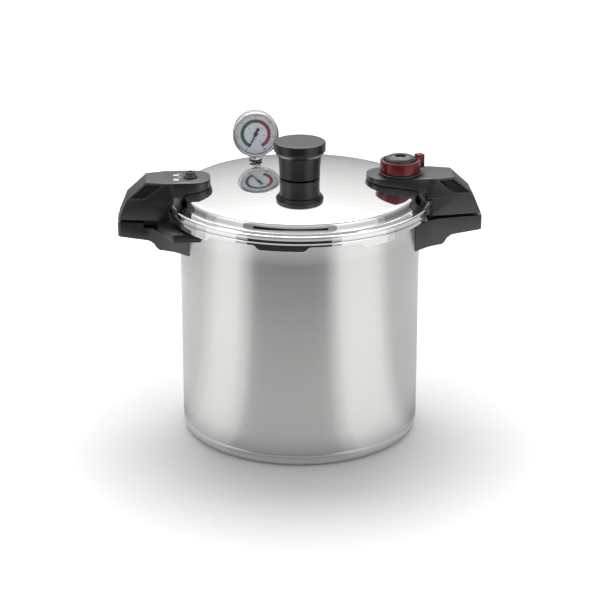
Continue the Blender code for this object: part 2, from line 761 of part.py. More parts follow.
def make_gauge(frame):
    """Bourdon-tube gauge; the frame's +Z is the dial's face direction and +Y points up."""
    case = [
        (0.0, -0.0113),
        (GAUGE_CASE_RADIUS - 0.0026, -0.0113),
        (GAUGE_CASE_RADIUS - 0.0012, -0.0099),
        (GAUGE_CASE_RADIUS - 0.0012, 0.0092),
        (GAUGE_CASE_RADIUS, 0.0092),
        (GAUGE_CASE_RADIUS, -0.0105),
        (GAUGE_CASE_RADIUS - 0.0020, -0.0125),
        (0.0, -0.0125),
    ]
    body = turned("gauge_case", case, BRUSHED, frame)

    def socket_hole(bm):
        cylinder(bm, (0.0, 0.0), 0.0056, 0.020, 0.036, sides=12)
        turn = Matrix.Rotation(math.pi / 2, 4, "X")
        bmesh.ops.transform(bm, matrix=turn, verts=bm.verts[:])

    combine(body, cutter("gauge_socket_hole", socket_hole, frame))
    bezel = [
        (GAUGE_BEZEL_RADIUS - 0.0035, 0.0128),
        (GAUGE_BEZEL_RADIUS - 0.0012, 0.0130),
        (GAUGE_BEZEL_RADIUS, 0.0118),
        (GAUGE_BEZEL_RADIUS, 0.0068),
        (GAUGE_CASE_RADIUS + GAP, 0.0068),
        (GAUGE_CASE_RADIUS + GAP, 0.0116),
        (GAUGE_BEZEL_RADIUS - 0.0035, 0.0116),
    ]
    turned("gauge_bezel", bezel, STEEL, frame, closed=True)
    lens = [(0.0, 0.0112), (0.0284, 0.0112), (0.0284, 0.0097), (0.0, 0.0097)]
    turned("gauge_lens", lens, GLASS, frame)
    dial = [(0.0265, 0.0060), (0.0265, 0.0052), (0.0014, 0.0052), (0.0014, 0.0060)]
    turned("gauge_dial", dial, DIAL_WHITE, frame, closed=True)
    make_needle(frame)
    make_movement(frame)
    make_bourdon(frame)


def make_needle(frame):
    """Pointer on its spindle, with the pinion that the sector drives."""
    pivot = add_frame("needle_axis", (0.0, 0.0, 0.0), frame)
    pivot.rotation_euler = (0.0, 0.0, -NEEDLE_ZERO)

    def spindle(bm):
        cylinder(bm, (0.0, 0.0), 0.0009, -0.0012, 0.0080, sides=8)

    def pinion(bm):
        cylinder(bm, (0.0, 0.0), PINION_RADIUS, 0.0012, 0.0028, sides=12)

    def pointer(bm):
        outline = [
            (-0.0004, 0.0190), (0.0004, 0.0190), (0.0010, 0.0030), (0.0026, 0.0010), (0.0026, -0.0010),
            (0.0011, -0.0030), (0.0022, -0.0085), (-0.0022, -0.0085), (-0.0011, -0.0030), (-0.0026, -0.0010),
            (-0.0026, 0.0010), (-0.0010, 0.0030),
        ]
        prism(bm, outline, 0.0070, 0.0078)

    needle = solid("gauge_needle", pointer, NEEDLE_BLACK, pivot)
    combine(needle, cutter("needle_spindle", spindle, pivot), "UNION")
    combine(needle, cutter("needle_pinion", pinion, pivot), "UNION")


def make_movement(frame):
    """Back plate of the movement, and the sector gear on its pivot."""
    def plate(bm):
        box(bm, (-0.0060, -0.0110, -0.0030), (0.0210, 0.0060, -0.0018))

    def pivots(bm):
        cylinder(bm, (0.0, 0.0), 0.0013, -0.0060, 0.0, sides=8)
        cylinder(bm, SECTOR_PIVOT, 0.0013, -0.0060, 0.0, sides=8)

    movement = solid("gauge_movement_plate", plate, BRASS, frame)
    combine(movement, cutter("movement_pivots", pivots, frame))

    axis = add_frame("sector_axis", (*SECTOR_PIVOT, 0.0), frame)

    def wedge(bm):
        outline = [(0.0035, -0.0022), (0.0035, 0.0022), (0.0, 0.0030)]
        outline += arc((0.0, 0.0), SECTOR_RADIUS, 138.0, 184.0, 6) + [(0.0, -0.0030)]
        prism(bm, outline, 0.0013, 0.0027)

    def pin(bm):
        cylinder(bm, (0.0, 0.0), 0.0009, -0.0029, 0.0020, sides=8)

    gear = solid("gauge_sector_gear", wedge, BRASS, axis)
    combine(gear, cutter("sector_pin", pin, axis), "UNION")


def make_bourdon(frame):
    """Curved pressure tube fixed in the stem's socket."""
    curve = bpy.data.curves.new("gauge_bourdon_tube", "CURVE")
    curve.dimensions = "3D"
    curve.bevel_depth = 0.0016
    curve.bevel_resolution = 2
    curve.use_fill_caps = True
    route = arc((0.0, 0.0), 0.0200, -75.0, 180.0, 20)
    spline = curve.splines.new("POLY")
    spline.points.add(len(route) - 1)
    for point, (x, y) in zip(spline.points, route):
        point.co = (x, y, -0.0070, 1.0)
    tube = bpy.data.objects.new("gauge_bourdon_tube", curve)
    PARTS.objects.link(tube)
    curve.materials.append(BRASS)
    tube.parent = frame


def make_gauge_stem(frame):
    """Hexagonal stem through the lid with its washer, nut and socket."""
    x, y = GAUGE_XY

    def hexagon_body(bm):
        cylinder(bm, (x, y), 0.0071, 0.3084, 0.3136, sides=6)

    def thread(bm):
        cylinder(bm, (x, y), 0.0048, 0.2960, 0.3100, sides=12)

    def neck(bm):
        cylinder(bm, (x, y), 0.0050, 0.3130, 0.3210, sides=12)

    stem = solid("gauge_stem", hexagon_body, STEEL, frame)
    combine(stem, cutter("stem_thread", thread), "UNION")
    combine(stem, cutter("stem_neck", neck), "UNION")
    washer = [(0.0085, 0.3081), (0.0085, 0.3065), (0.0051, 0.3065), (0.0051, 0.3081)]
    turned("gauge_washer", washer, RUBBER, frame, (x, y, 0.0), steps=ROUND_SMALL, closed=True)

    def nut(bm):
        cylinder(bm, (x, y), 0.0085, 0.2965, 0.3010, sides=6)

    def nut_bore(bm):
        cylinder(bm, (x, y), 0.0051, 0.2900, 0.3050, sides=12)

    body = solid("gauge_nut", nut, BRASS, frame)
    combine(body, cutter("gauge_nut_bore", nut_bore))


# ---------------------------------------------------------------- regulator, lock and plug

def make_regulator(frame):
    """Vent pipe, valve, spring and housing, with a red selector ring around them."""
    place = (*VENT_XY, 0.0)
    pipe = [
        (0.0016, 0.3183),
        (0.0034, 0.3183),
        (0.0045, 0.3170),
        (0.0055, 0.3150),
        (0.0055, 0.2975),
        (0.0090, 0.2975),
        (0.0090, 0.2950),
        (0.0016, 0.2950),
    ]
    turned("vent_pipe", pipe, STEEL, frame, place, steps=ROUND_SMALL, closed=True)

    def nut(bm):
        hexagon(bm, 0.0098, 0.3040, 0.3090)

    def nut_bore(bm):
        cylinder(bm, (0.0, 0.0), 0.0058, 0.3000, 0.3120, sides=12)

    body = solid("vent_nut", nut, BRASS, frame, place)
    combine(body, cutter("vent_nut_bore", nut_bore, frame, place))
    base = [(0.0265, 0.3167), (0.0272, 0.3160), (0.0272, 0.3143), (0.0070, 0.3143), (0.0070, 0.3167)]
    turned("regulator_base", base, BLACK, frame, place, closed=True)
    dome = [
        (0.0070, DOME_TOP_Z),
        (0.0120, DOME_TOP_Z),
        (0.0165, DOME_TOP_Z - 0.0010),
        (0.0195, DOME_TOP_Z - 0.0035),
        (DOME_RADIUS, DOME_TOP_Z - 0.0070),
        (DOME_RADIUS, REGULATOR_Z),
        (0.0180, REGULATOR_Z),
        (0.0180, 0.3290),
        (0.0150, 0.3325),
        (0.0070, 0.3335),
    ]
    turned("regulator_housing", dome, BLACK, frame, place, closed=True)
    valve = [
        (0.0, 0.3348),
        (0.0045, 0.3348),
        (0.0050, 0.3343),
        (0.0050, 0.3225),
        (0.0092, 0.3225),
        (0.0092, 0.3205),
        (0.0040, 0.3200),
        (0.0008, 0.3187),
        (0.0, 0.3187),
    ]
    turned("regulator_valve", valve, STEEL, frame, place, steps=ROUND_SMALL)
    make_spring(frame, place)
    make_selector(frame, place)


def make_spring(frame, place):
    """Coil that presses the valve onto the vent pipe."""
    curve = bpy.data.curves.new("regulator_spring", "CURVE")
    curve.dimensions = "3D"
    curve.bevel_depth = 0.0006
    curve.bevel_resolution = 1
    curve.use_fill_caps = True
    turns = 3.5
    count = 36
    low, high = 0.3235, 0.3318
    spline = curve.splines.new("POLY")
    spline.points.add(count)
    for i, point in enumerate(spline.points):
        angle = 2 * math.pi * turns * i / count
        height = low + (high - low) * i / count
        point.co = (0.0075 * math.cos(angle), 0.0075 * math.sin(angle), height, 1.0)
    spring = bpy.data.objects.new("regulator_spring", curve)
    PARTS.objects.link(spring)
    curve.materials.append(STEEL)
    spring.parent = frame
    spring.location = place


def make_selector(frame, place):
    """Red ring that turns on the housing, with its finger lever."""
    axis = add_frame("selector_axis", place, frame)
    inner = DOME_RADIUS + GAP
    ring = [
        (RING_RADIUS - 0.0010, RING_TOP_Z),
        (RING_RADIUS, RING_TOP_Z - 0.0010),
        (RING_RADIUS, REGULATOR_Z + 0.0005),
        (RING_RADIUS - 0.0005, REGULATOR_Z),
        (inner, REGULATOR_Z),
        (inner, RING_TOP_Z - 0.0020),
        (inner + 0.0008, RING_TOP_Z),
    ]
    selector = turned("selector_ring", ring, RED, axis, closed=True)

    def lever(bm):
        box(bm, (0.0240, -0.0045, REGULATOR_Z + 0.0010), (0.0335, 0.0045, 0.3350))
        bmesh.ops.transform(bm, matrix=Matrix.Rotation(LEVER_ANGLE, 4, "Z"), verts=bm.verts[:])

    combine(selector, cutter("selector_lever", lever, axis), "UNION")


def make_lock(frame):
    """Pressure lock: a pin that rises through the handle when the pot is under pressure."""
    place = (*LOCK_XY, 0.0)
    collar = [
        (0.0045, 0.3213),
        (0.0052, 0.3208),
        (0.0062, 0.3175),
        (0.0085, 0.3155),
        (0.0090, 0.3143),
        (0.0034, 0.3143),
        (0.0034, 0.3213),
    ]
    turned("lock_collar", collar, BLACK, frame, place, steps=24, closed=True)
    bush = [(0.0048, 0.3138), (0.0048, 0.2990), (0.0031, 0.2990), (0.0031, 0.3138)]
    turned("lock_bush", bush, STEEL, frame, place, steps=12, closed=True)
    pin = [
        (0.0, 0.3196),
        (0.0020, 0.3196),
        (0.0027, 0.3188),
        (0.0027, 0.2906),
        (0.0060, 0.2906),
        (0.0060, 0.2888),
        (0.0, 0.2888),
    ]
    turned("lock_pin", pin, STEEL, frame, place, steps=12)
    seal = [(0.0060, 0.2920), (0.0060, 0.2909), (0.0030, 0.2909), (0.0030, 0.2920)]
    turned("lock_pin_seal", seal, RUBBER, frame, place, steps=12, closed=True)


def make_plug(frame):
    """Rubber plug that blows out of the lid if the vent is blocked."""
    plug = [
        (0.0, 0.3100),
        (0.0042, 0.3098),
        (0.0066, 0.3086),
        (0.0072, 0.3070),
        (0.0046, 0.3069),
        (0.0046, 0.3018),
        (0.0064, 0.3016),
        (0.0050, 0.2994),
        (0.0, 0.2992),
    ]
    turned("overpressure_plug", plug, RUBBER, frame, (*PLUG_XY, 0.0), steps=ROUND_SMALL)


# ---------------------------------------------------------------- assembly

def main():
    """Build the canner from the pot upwards."""
    pot_frame = add_frame("pot_frame", parent=CANNER_FRAME)
    make_pot(pot_frame)
    for side, word in ((-1, "left"), (1, "right")):
        make_bracket(side, word, pot_frame)
        make_rivets(side, word, pot_frame)
        make_pot_handle(side, word, pot_frame)
        make_pot_screw(side, word, pot_frame)
    make_rack(pot_frame)

    lid_frame = add_frame("lid_frame", parent=pot_frame)
    make_lid(lid_frame)
    make_gasket(lid_frame)
    clearance = make_lid_clearance()
    make_lid_handle(-1, "left", LEFT_ARM_END, 0.0220, 0.0051, clearance, lid_frame)
    make_lid_handle(1, "right", RIGHT_ARM_END, 0.0250, 0.0105, clearance, lid_frame)
    make_lid_handle_screws(-1, "left", lid_frame)
    make_lid_handle_screws(1, "right", lid_frame)
    make_knob(lid_frame)
    make_gauge_stem(lid_frame)
    gauge_frame = add_frame("gauge_frame", (*GAUGE_XY, GAUGE_Z), lid_frame, turn_to_front=True)
    make_gauge(gauge_frame)
    make_regulator(lid_frame)
    make_lock(lid_frame)
    make_plug(lid_frame)


main()
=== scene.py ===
"""Looks of a stove-top pressure canner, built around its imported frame."""
import logging
import math
from dataclasses import dataclass
from enum import Enum

import bmesh
import bpy
import numpy as np
from mathutils import Matrix
from mathutils import Vector


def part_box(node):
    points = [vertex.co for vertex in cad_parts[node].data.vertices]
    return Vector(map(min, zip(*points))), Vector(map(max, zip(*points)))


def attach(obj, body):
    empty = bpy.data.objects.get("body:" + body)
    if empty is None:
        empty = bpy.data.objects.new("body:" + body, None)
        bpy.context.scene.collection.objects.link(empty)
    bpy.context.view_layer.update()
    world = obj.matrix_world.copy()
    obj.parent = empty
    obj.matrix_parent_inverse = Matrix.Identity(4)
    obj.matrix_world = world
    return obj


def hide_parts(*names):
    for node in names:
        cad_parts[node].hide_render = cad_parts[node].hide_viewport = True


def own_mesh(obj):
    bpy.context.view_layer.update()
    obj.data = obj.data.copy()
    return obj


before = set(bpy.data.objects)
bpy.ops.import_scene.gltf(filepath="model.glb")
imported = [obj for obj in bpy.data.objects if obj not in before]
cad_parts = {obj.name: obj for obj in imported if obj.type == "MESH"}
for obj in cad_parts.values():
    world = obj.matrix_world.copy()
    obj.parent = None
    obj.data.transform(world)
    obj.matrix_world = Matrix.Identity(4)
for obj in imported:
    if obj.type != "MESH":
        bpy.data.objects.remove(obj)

LOG = logging.getLogger("canner")
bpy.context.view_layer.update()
Point = tuple[float, float]
Place = tuple[float, float, float]
Colour = tuple[float, float, float]

# Heights in the classes are measured from a datum that the crown of the lid gives
CROWN = 0.3120
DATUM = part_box("lid_shell")[1][2] - CROWN
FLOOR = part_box("pot_shell")[0][2]

# Places of what stands on the lid, and the first of the lugs that lock it
REGULATOR_AT = (0.1275, 0.0)
LOCK_AT = (-0.1380, 0.0)
GAUGE_AT = (-0.0520, 0.0920)
PLUG_AT = (0.0120, 0.1000)
FIRST_LUG = math.radians(-101.25)


class Body(Enum):
    """Bodies of the frame that a piece can ride on."""

    POT = "pot"
    RACK = "rack"
    GASKET = "gasket"
    LID = "lid"
    SELECTOR = "selector"
    VALVE = "valve"
    LOCK_PIN = "lock_pin"
    SECTOR = "sector"
    NEEDLE = "needle"


class Side(Enum):
    """Side of the canner, with its sign along X."""

    LEFT = -1
    RIGHT = 1


class Face(Enum):
    """Slanted face of a grip, with its sign along Y."""

    FRONT = -1
    BACK = 1


class Slot(Enum):
    """Material slots of the pieces."""

    BRUSHED = "brushed_aluminium"
    POLISHED = "polished_aluminium"
    PHENOLIC = "black_phenolic"
    STEEL = "bright_steel"
    RED = "red_plastic"
    RUBBER = "grey_rubber"
    DIAL = "dial_face"
    NEEDLE = "needle_black"
    GLASS = "clear_glass"


# ------------------------------------------------------------------ node graphs

class Value:
    """A node's output; arithmetic on it adds Math nodes."""

    def __init__(self, graph: "Graph", socket: bpy.types.NodeSocket) -> None:
        """Wrap one output socket of a graph."""
        self.graph = graph
        self.socket = socket

    def _math(self, operation: str, first: object, second: object) -> "Value":
        """Add one Math node."""
        return self.graph.node("ShaderNodeMath", {0: first, 1: second}, operation=operation)

    def __add__(self, other: object) -> "Value":
        """Sum."""
        return self._math("ADD", self, other)

    __radd__ = __add__

    def __sub__(self, other: object) -> "Value":
        """Difference."""
        return self._math("SUBTRACT", self, other)

    def __rsub__(self, other: object) -> "Value":
        """Difference from a number."""
        return self._math("SUBTRACT", other, self)

    def __mul__(self, other: object) -> "Value":
        """Product."""
        return self._math("MULTIPLY", self, other)

    __rmul__ = __mul__

    def __truediv__(self, other: object) -> "Value":
        """Quotient."""
        return self._math("DIVIDE", self, other)

    def __rtruediv__(self, other: object) -> "Value":
        """Quotient of a number by this."""
        return self._math("DIVIDE", other, self)

    def __gt__(self, other: object) -> "Value":
        """One where this is above the other, else zero."""
        return self._math("GREATER_THAN", self, other)

    def __lt__(self, other: object) -> "Value":
        """One where this is below the other, else zero."""
        return self._math("LESS_THAN", self, other)


class Graph:
    """A node tree under construction."""

    def __init__(self, tree: bpy.types.NodeTree) -> None:
        """Hold the tree."""
        self.tree = tree

    def node(self, kind: str, inputs: dict | None = None, output: object = 0, **settings: object) -> Value:
        """Add a node.

        Args:
            kind: The node's type.
            inputs: Value or link of each socket, by name or number.
            output: The output that is returned, by name or number.
            settings: The node's own settings, which are set first.

        Returns:
            The chosen output.
        """
        made = self.tree.nodes.new(kind)
        for key, value in settings.items():
            setattr(made, key, value)
        for key, value in (inputs or {}).items():
            socket = made.inputs[key]
            if isinstance(value, Value):
                self.tree.links.new(value.socket, socket)
            else:
                socket.default_value = value
        return Value(self, made.outputs[output])


class Paint(Graph):
    """A Principled material under construction."""

    def __init__(self, name: str, **constants: object) -> None:
        """Make the material and set the sockets that are the same all over.

        Args:
            name: The material's name.
            constants: Socket values, with the socket's name in lower case and underscores.
        """
        self.material = bpy.data.materials.new(name)
        self.material.use_nodes = True
        super().__init__(self.material.node_tree)
        self.shader = self.tree.nodes["Principled BSDF"]
        for key, value in constants.items():
            socket = self.shader.inputs[key.replace("_", " ").title().replace("Ior", "IOR")]
            socket.default_value = (*value, 1.0) if isinstance(value, tuple) else value

    def places(self, scale: Place) -> Value:
        """Object coordinates stretched along each axis."""
        where = self.node("ShaderNodeTexCoord", output="Object")
        return self.node("ShaderNodeMapping", {"Vector": where, "Scale": scale})

    def noise(self, scale: Place, detail: float = 3.0, rough: float = 0.55) -> Value:
        """Noise on stretched object coordinates, about 0.5.

        Args:
            scale: Its scale along each axis.
            detail: Its octaves.
            rough: How strong the fine octaves are.

        Returns:
            The noise's value.
        """
        where = self.places(scale)
        values = {"Vector": where, "Scale": 1.0, "Detail": detail, "Roughness": rough}
        return self.node("ShaderNodeTexNoise", values)

    def blend(self, amount: Value, low: Colour | Value, high: Colour) -> Value:
        """Mix two colours by a value from 0 to 1.

        Args:
            amount: How much of the second colour.
            low: The first colour, or a link to it.
            high: The second colour.

        Returns:
            The mixed colour.
        """
        first = low if isinstance(low, Value) else (*low, 1.0)
        values = {"Factor": amount, 6: first, 7: (*high, 1.0)}
        return self.node("ShaderNodeMix", values, output=2, data_type="RGBA")

    def lay(self, name: str, value: Value) -> None:
        """Link a value that changes over the surface into the shader."""
        self.tree.links.new(value.socket, self.shader.inputs[name])

    def bump(self, height: Value, strength: float, distance: float) -> None:
        """Raise the surface by a height."""
        values = {"Strength": strength, "Distance": distance, "Height": height}
        self.lay("Normal", self.node("ShaderNodeBump", values))


# ------------------------------------------------------------------ finishes

@dataclass(frozen=True)
class SpunAluminium:
    """Satin aluminium brushed round the pot."""

    name: str = "brushed_aluminium"
    light: Colour = (0.80, 0.80, 0.79)
    dark: Colour = (0.70, 0.70, 0.69)
    roughness: float = 0.30
    grain: float = 0.09
    anisotropy: float = 0.72

    def material(self) -> bpy.types.Material:
        """Fine rings in roughness, colour and height, with broader faint bands.

        Returns:
            The material.
        """
        paint = Paint(self.name, metallic=1.0, anisotropic=self.anisotropy, anisotropic_rotation=0.25)
        fine = paint.noise((9.0, 9.0, 2600.0), 4.0, 0.7)
        broad = paint.noise((2.0, 2.0, 95.0), 2.0)
        paint.lay("Base Color", paint.blend(fine * 0.6 + broad * 0.4, self.dark, self.light))
        paint.lay("Roughness", (fine - 0.5) * (2.0 * self.grain) + (broad - 0.5) * 0.06 + self.roughness)
        paint.bump(fine, 0.10, 0.0002)
        return paint.material


@dataclass(frozen=True)
class PolishedAluminium:
    """Mirror-polished aluminium with a trace of the polishing rings."""

    name: str = "polished_aluminium"
    colour: Colour = (0.84, 0.84, 0.83)
    worn: Colour = (0.79, 0.79, 0.78)
    roughness: float = 0.045

    def material(self) -> bpy.types.Material:
        """Nearly a mirror; the roughness wanders a little.

        Returns:
            The material.
        """
        paint = Paint(self.name, metallic=1.0)
        broad = paint.noise((14.0, 14.0, 14.0), 3.0)
        fine = paint.noise((240.0, 240.0, 900.0), 2.0)
        paint.lay("Base Color", paint.blend(broad, self.worn, self.colour))
        paint.lay("Roughness", (broad - 0.5) * 0.05 + (fine - 0.5) * 0.02 + self.roughness)
        paint.bump(fine, 0.02, 0.0001)
        return paint.material


@dataclass(frozen=True)
class Moulded:
    """Moulded phenolic or plastic with a fine grain."""

    name: str
    colour: Colour
    sheen_colour: Colour
    roughness: float
    grain_height: float = 0.25
    gloss: float = 0.5

    def material(self) -> bpy.types.Material:
        """Grain in height and roughness, and slight mottling in colour.

        Returns:
            The material.
        """
        paint = Paint(self.name, specular_ior_level=self.gloss)
        grain = paint.noise((1500.0, 1500.0, 1500.0), 2.0)
        mottle = paint.noise((40.0, 40.0, 40.0), 3.0)
        paint.lay("Base Color", paint.blend(mottle, self.colour, self.sheen_colour))
        paint.lay("Roughness", (mottle - 0.5) * 0.14 + (grain - 0.5) * 0.08 + self.roughness)
        paint.bump(grain, self.grain_height, 0.00015)
        return paint.material


@dataclass(frozen=True)
class Machined:
    """Turned or plated metal of small parts."""

    name: str
    colour: Colour
    tarnish: Colour
    roughness: float

    def material(self) -> bpy.types.Material:
        """Fine machining marks and a little tarnish.

        Returns:
            The material.
        """
        paint = Paint(self.name, metallic=1.0)
        marks = paint.noise((60.0, 60.0, 3000.0), 3.0)
        stain = paint.noise((90.0, 90.0, 90.0), 3.0)
        paint.lay("Base Color", paint.blend(stain, self.tarnish, self.colour))
        paint.lay("Roughness", (marks - 0.5) * 0.16 + self.roughness)
        paint.bump(marks, 0.06, 0.0001)
        return paint.material


@dataclass(frozen=True)
class DialCard:
    """White card with a green and a red arc, drawn round the dial's centre."""

    centre: Place
    radius: float
    name: str = "dial_face"
    card: Colour = (0.88, 0.93, 1.0)
    green: Colour = (0.015, 0.12, 0.05)
    red: Colour = (0.33, 0.01, 0.02)
    arc_radius: float = 0.655
    arc_width: float = 0.17
    start: float = math.radians(-155.0)
    change: float = math.radians(16.0)
    end: float = math.radians(154.0)

    def material(self) -> bpy.types.Material:
        """Arcs by distance and clockwise angle from the dial's top.

        Returns:
            The material.
        """
        paint = Paint(self.name, roughness=0.45)
        where = paint.node("ShaderNodeTexCoord", output="Object")
        local = paint.node("ShaderNodeVectorMath", {0: where, 1: self.centre}, operation="SUBTRACT")
        across = paint.node("ShaderNodeSeparateXYZ", {0: local}, output="X")
        up = paint.node("ShaderNodeSeparateXYZ", {0: local}, output="Z")
        angle = paint.node("ShaderNodeMath", {0: across, 1: up}, operation="ARCTAN2")
        distance = paint.node("ShaderNodeMath", {0: across * across + up * up}, operation="SQRT")
        middle = self.arc_radius * self.radius
        half = self.arc_width * self.radius / 2
        ring = (distance > middle - half) * (distance < middle + half)
        green = ring * (angle > self.start) * (angle < self.change)
        red = ring * (angle > self.change) * (angle < self.end)
        fibre = paint.noise((700.0, 700.0, 700.0), 2.0)
        card = paint.blend(fibre, tuple(0.96 * c for c in self.card), self.card)
        with_green = paint.blend(green, card, self.green)
        paint.lay("Base Color", paint.blend(red, with_green, self.red))
        paint.bump(fibre, 0.05, 0.0001)
        return paint.material


@dataclass(frozen=True)
class ClearGlass:
    """The gauge's window."""

    name: str = "clear_glass"

    def material(self) -> bpy.types.Material:
        """Clear, with faint smears in its gloss.

        Returns:
            The material.
        """
        paint = Paint(self.name, alpha=0.04, base_color=(0.9, 0.95, 1.0))
        smear = paint.noise((60.0, 60.0, 60.0), 2.0)
        paint.lay("Roughness", smear * 0.03 + 0.01)
        return paint.material


class Finishes:
    """The canner's materials, made once and shared."""

    def __init__(self) -> None:
        """Make every finish but the dial's, which needs its place."""
        self.brushed = SpunAluminium().material()
        self.polished = PolishedAluminium().material()
        black = (0.006, 0.006, 0.0065)
        grey = (0.010, 0.010, 0.011)
        deep = (0.004, 0.004, 0.005)
        soot = (0.007, 0.007, 0.008)
        self.phenolic = Moulded("black_phenolic", black, grey, 0.36, 0.30, 0.9).material()
        self.inlay = Moulded("panel_black", deep, soot, 0.5, 0.1, 0.25).material()
        self.knob = Moulded("knob_black", deep, soot, 0.34, 0.12, 0.7).material()
        self.red = Moulded("red_plastic", (0.12, 0.003, 0.006), (0.16, 0.004, 0.009), 0.24, 0.03).material()
        self.rubber = Moulded("grey_rubber", (0.05, 0.05, 0.05), (0.08, 0.08, 0.08), 0.75).material()
        self.white = Moulded("white_print", (0.78, 0.78, 0.78), (0.86, 0.86, 0.86), 0.5, 0.05).material()
        self.ink = Moulded("black_ink", (0.015, 0.015, 0.02), (0.02, 0.02, 0.03), 0.5, 0.05).material()
        self.needle = Moulded("needle_black", (0.008,) * 3, (0.015,) * 3, 0.4, 0.05).material()
        self.steel = Machined("bright_steel", (0.66, 0.66, 0.66), (0.52, 0.52, 0.52), 0.22).material()
        self.case = Machined("gauge_silver", (0.80, 0.80, 0.79), (0.70, 0.70, 0.69), 0.20).material()
        self.brass = Machined("brass", (0.72, 0.54, 0.26), (0.45, 0.32, 0.15), 0.28).material()
        self.glass = ClearGlass().material()


# ------------------------------------------------------------------ shapes

def arc(centre: Point, radius: float, start: float, end: float, count: int = 6) -> list[Point]:
    """Points on an arc.

    Args:
        centre: The arc's centre.
        radius: Its radius.
        start: First angle in degrees.
        end: Last angle in degrees.
        count: Number of steps.

    Returns:
        The points, both ends included.
    """
    points = []
    for step in range(count + 1):
        angle = math.radians(start + (end - start) * step / count)
        points.append((centre[0] + radius * math.cos(angle), centre[1] + radius * math.sin(angle)))
    return points


def rounded(points: list[Point], size: float, steps: int = 3, closed: bool = False) -> list[Point]:
    """Round the corners of an outline.

    Args:
        points: The outline.
        size: Length cut from each side of a corner, at most.
        steps: Steps in each rounded corner.
        closed: Whether the last point joins the first.

    Returns:
        The rounded outline.
    """
    result: list[Point] = []
    total = len(points)
    for i, here in enumerate(points):
        if not closed and i in (0, total - 1):
            result.append(here)
            continue
        now = Vector(here)
        before = Vector(points[i - 1]) - now
        after = Vector(points[(i + 1) % total]) - now
        cut = min(size, 0.4 * before.length, 0.4 * after.length)
        if before.angle(after) > math.radians(165.0):
            result.append(here)
            continue
        first = now + before.normalized() * cut
        last = now + after.normalized() * cut
        for step in range(steps + 1):
            t = step / steps
            spot = (1 - t) ** 2 * first + 2 * t * (1 - t) * now + t ** 2 * last
            result.append((spot.x, spot.y))
    return result


def outline_of(node: str, centre: Point) -> tuple[list[Point], bool]:
    """Read the profile of a turned CAD node: its edges in the half plane through +X.

    Args:
        node: The node's name.
        centre: The place of its upright axis.

    Returns:
        Its (radius, height) points, and whether the profile is closed.
    """
    bm = bmesh.new()
    bm.from_mesh(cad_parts[node].data)
    bmesh.ops.remove_doubles(bm, verts=bm.verts[:], dist=1e-6)
    tolerance = 2e-5
    flat = {v for v in bm.verts if abs(v.co.y - centre[1]) < tolerance and v.co.x - centre[0] > -tolerance}
    links = {v: [e.other_vert(v) for e in v.link_edges if e.other_vert(v) in flat] for v in flat}
    on_axis = [v for v in flat if v.co.x - centre[0] < tolerance]
    closed = not on_axis
    start = max(on_axis or flat, key=lambda v: (v.co.z, v.co.x))
    for v in on_axis:
        links[v] = [other for other in links[v] if other not in on_axis]
    path = [start]
    options = sorted(links[start], key=lambda v: -v.co.z - v.co.x)
    here = options[0]
    while here not in path:
        path.append(here)
        onward = [v for v in links[here] if v not in path]
        if not onward:
            break
        here = onward[0]
    points = [(max(0.0, v.co.x - centre[0]), v.co.z) for v in path]
    bm.free()
    return points, closed


def settle(mesh: bpy.types.Mesh, sharp: float = 32.0) -> bpy.types.Mesh:
    """Merge a mesh's doubles, face it outwards and shade it smooth with sharp edges.

    Args:
        mesh: The mesh.
        sharp: Angle in degrees from which an edge is sharp.

    Returns:
        The same mesh.
    """
    bm = bmesh.new()
    bm.from_mesh(mesh)
    bmesh.ops.remove_doubles(bm, verts=bm.verts[:], dist=2e-6)
    bmesh.ops.recalc_face_normals(bm, faces=bm.faces[:])
    bm.to_mesh(mesh)
    bm.free()
    mesh.shade_smooth()
    mesh.set_sharp_from_angle(angle=math.radians(sharp))
    return mesh


def add_piece(name: str, mesh: bpy.types.Mesh, material: bpy.types.Material) -> bpy.types.Object:
    """Put a mesh in the scene.

    Args:
        name: The piece's name.
        mesh: Its mesh.
        material: Its only material.

    Returns:
        The piece.
    """
    piece = bpy.data.objects.new(name, mesh)
    bpy.context.scene.collection.objects.link(piece)
    mesh.materials.clear()
    mesh.materials.append(material)
    return piece


def baked(piece: bpy.types.Object) -> bpy.types.Object:
    """Turn a piece's modifiers into a plain mesh.

    Args:
        piece: The piece.

    Returns:
        The same piece, without modifiers.
    """
    graph = bpy.context.evaluated_depsgraph_get()
    mesh = bpy.data.meshes.new_from_object(piece.evaluated_get(graph))
    piece.modifiers.clear()
    piece.data = mesh
    return piece


def fit(piece: bpy.types.Object, body: Body, slot: Slot, *nodes: str) -> None:
    """Make a piece ride on a body and stand for CAD nodes, and report it.

    Args:
        piece: The piece.
        body: The body that carries it.
        slot: Its material slot; not used.
        nodes: CAD nodes that it stands for, if any.
    """
    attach(piece, body.value)
    if nodes:
        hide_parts(*nodes)
    LOG.info("%s: %d faces, on %s", piece.name, len(piece.data.polygons), body.value)


def dress(material: bpy.types.Material, *nodes: str) -> None:
    """Give CAD nodes whose shape is right a better material.

    Args:
        material: The material.
        nodes: The nodes' names.
    """
    for name in nodes:
        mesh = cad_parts[name].data
        mesh.materials.clear()
        mesh.materials.append(material)


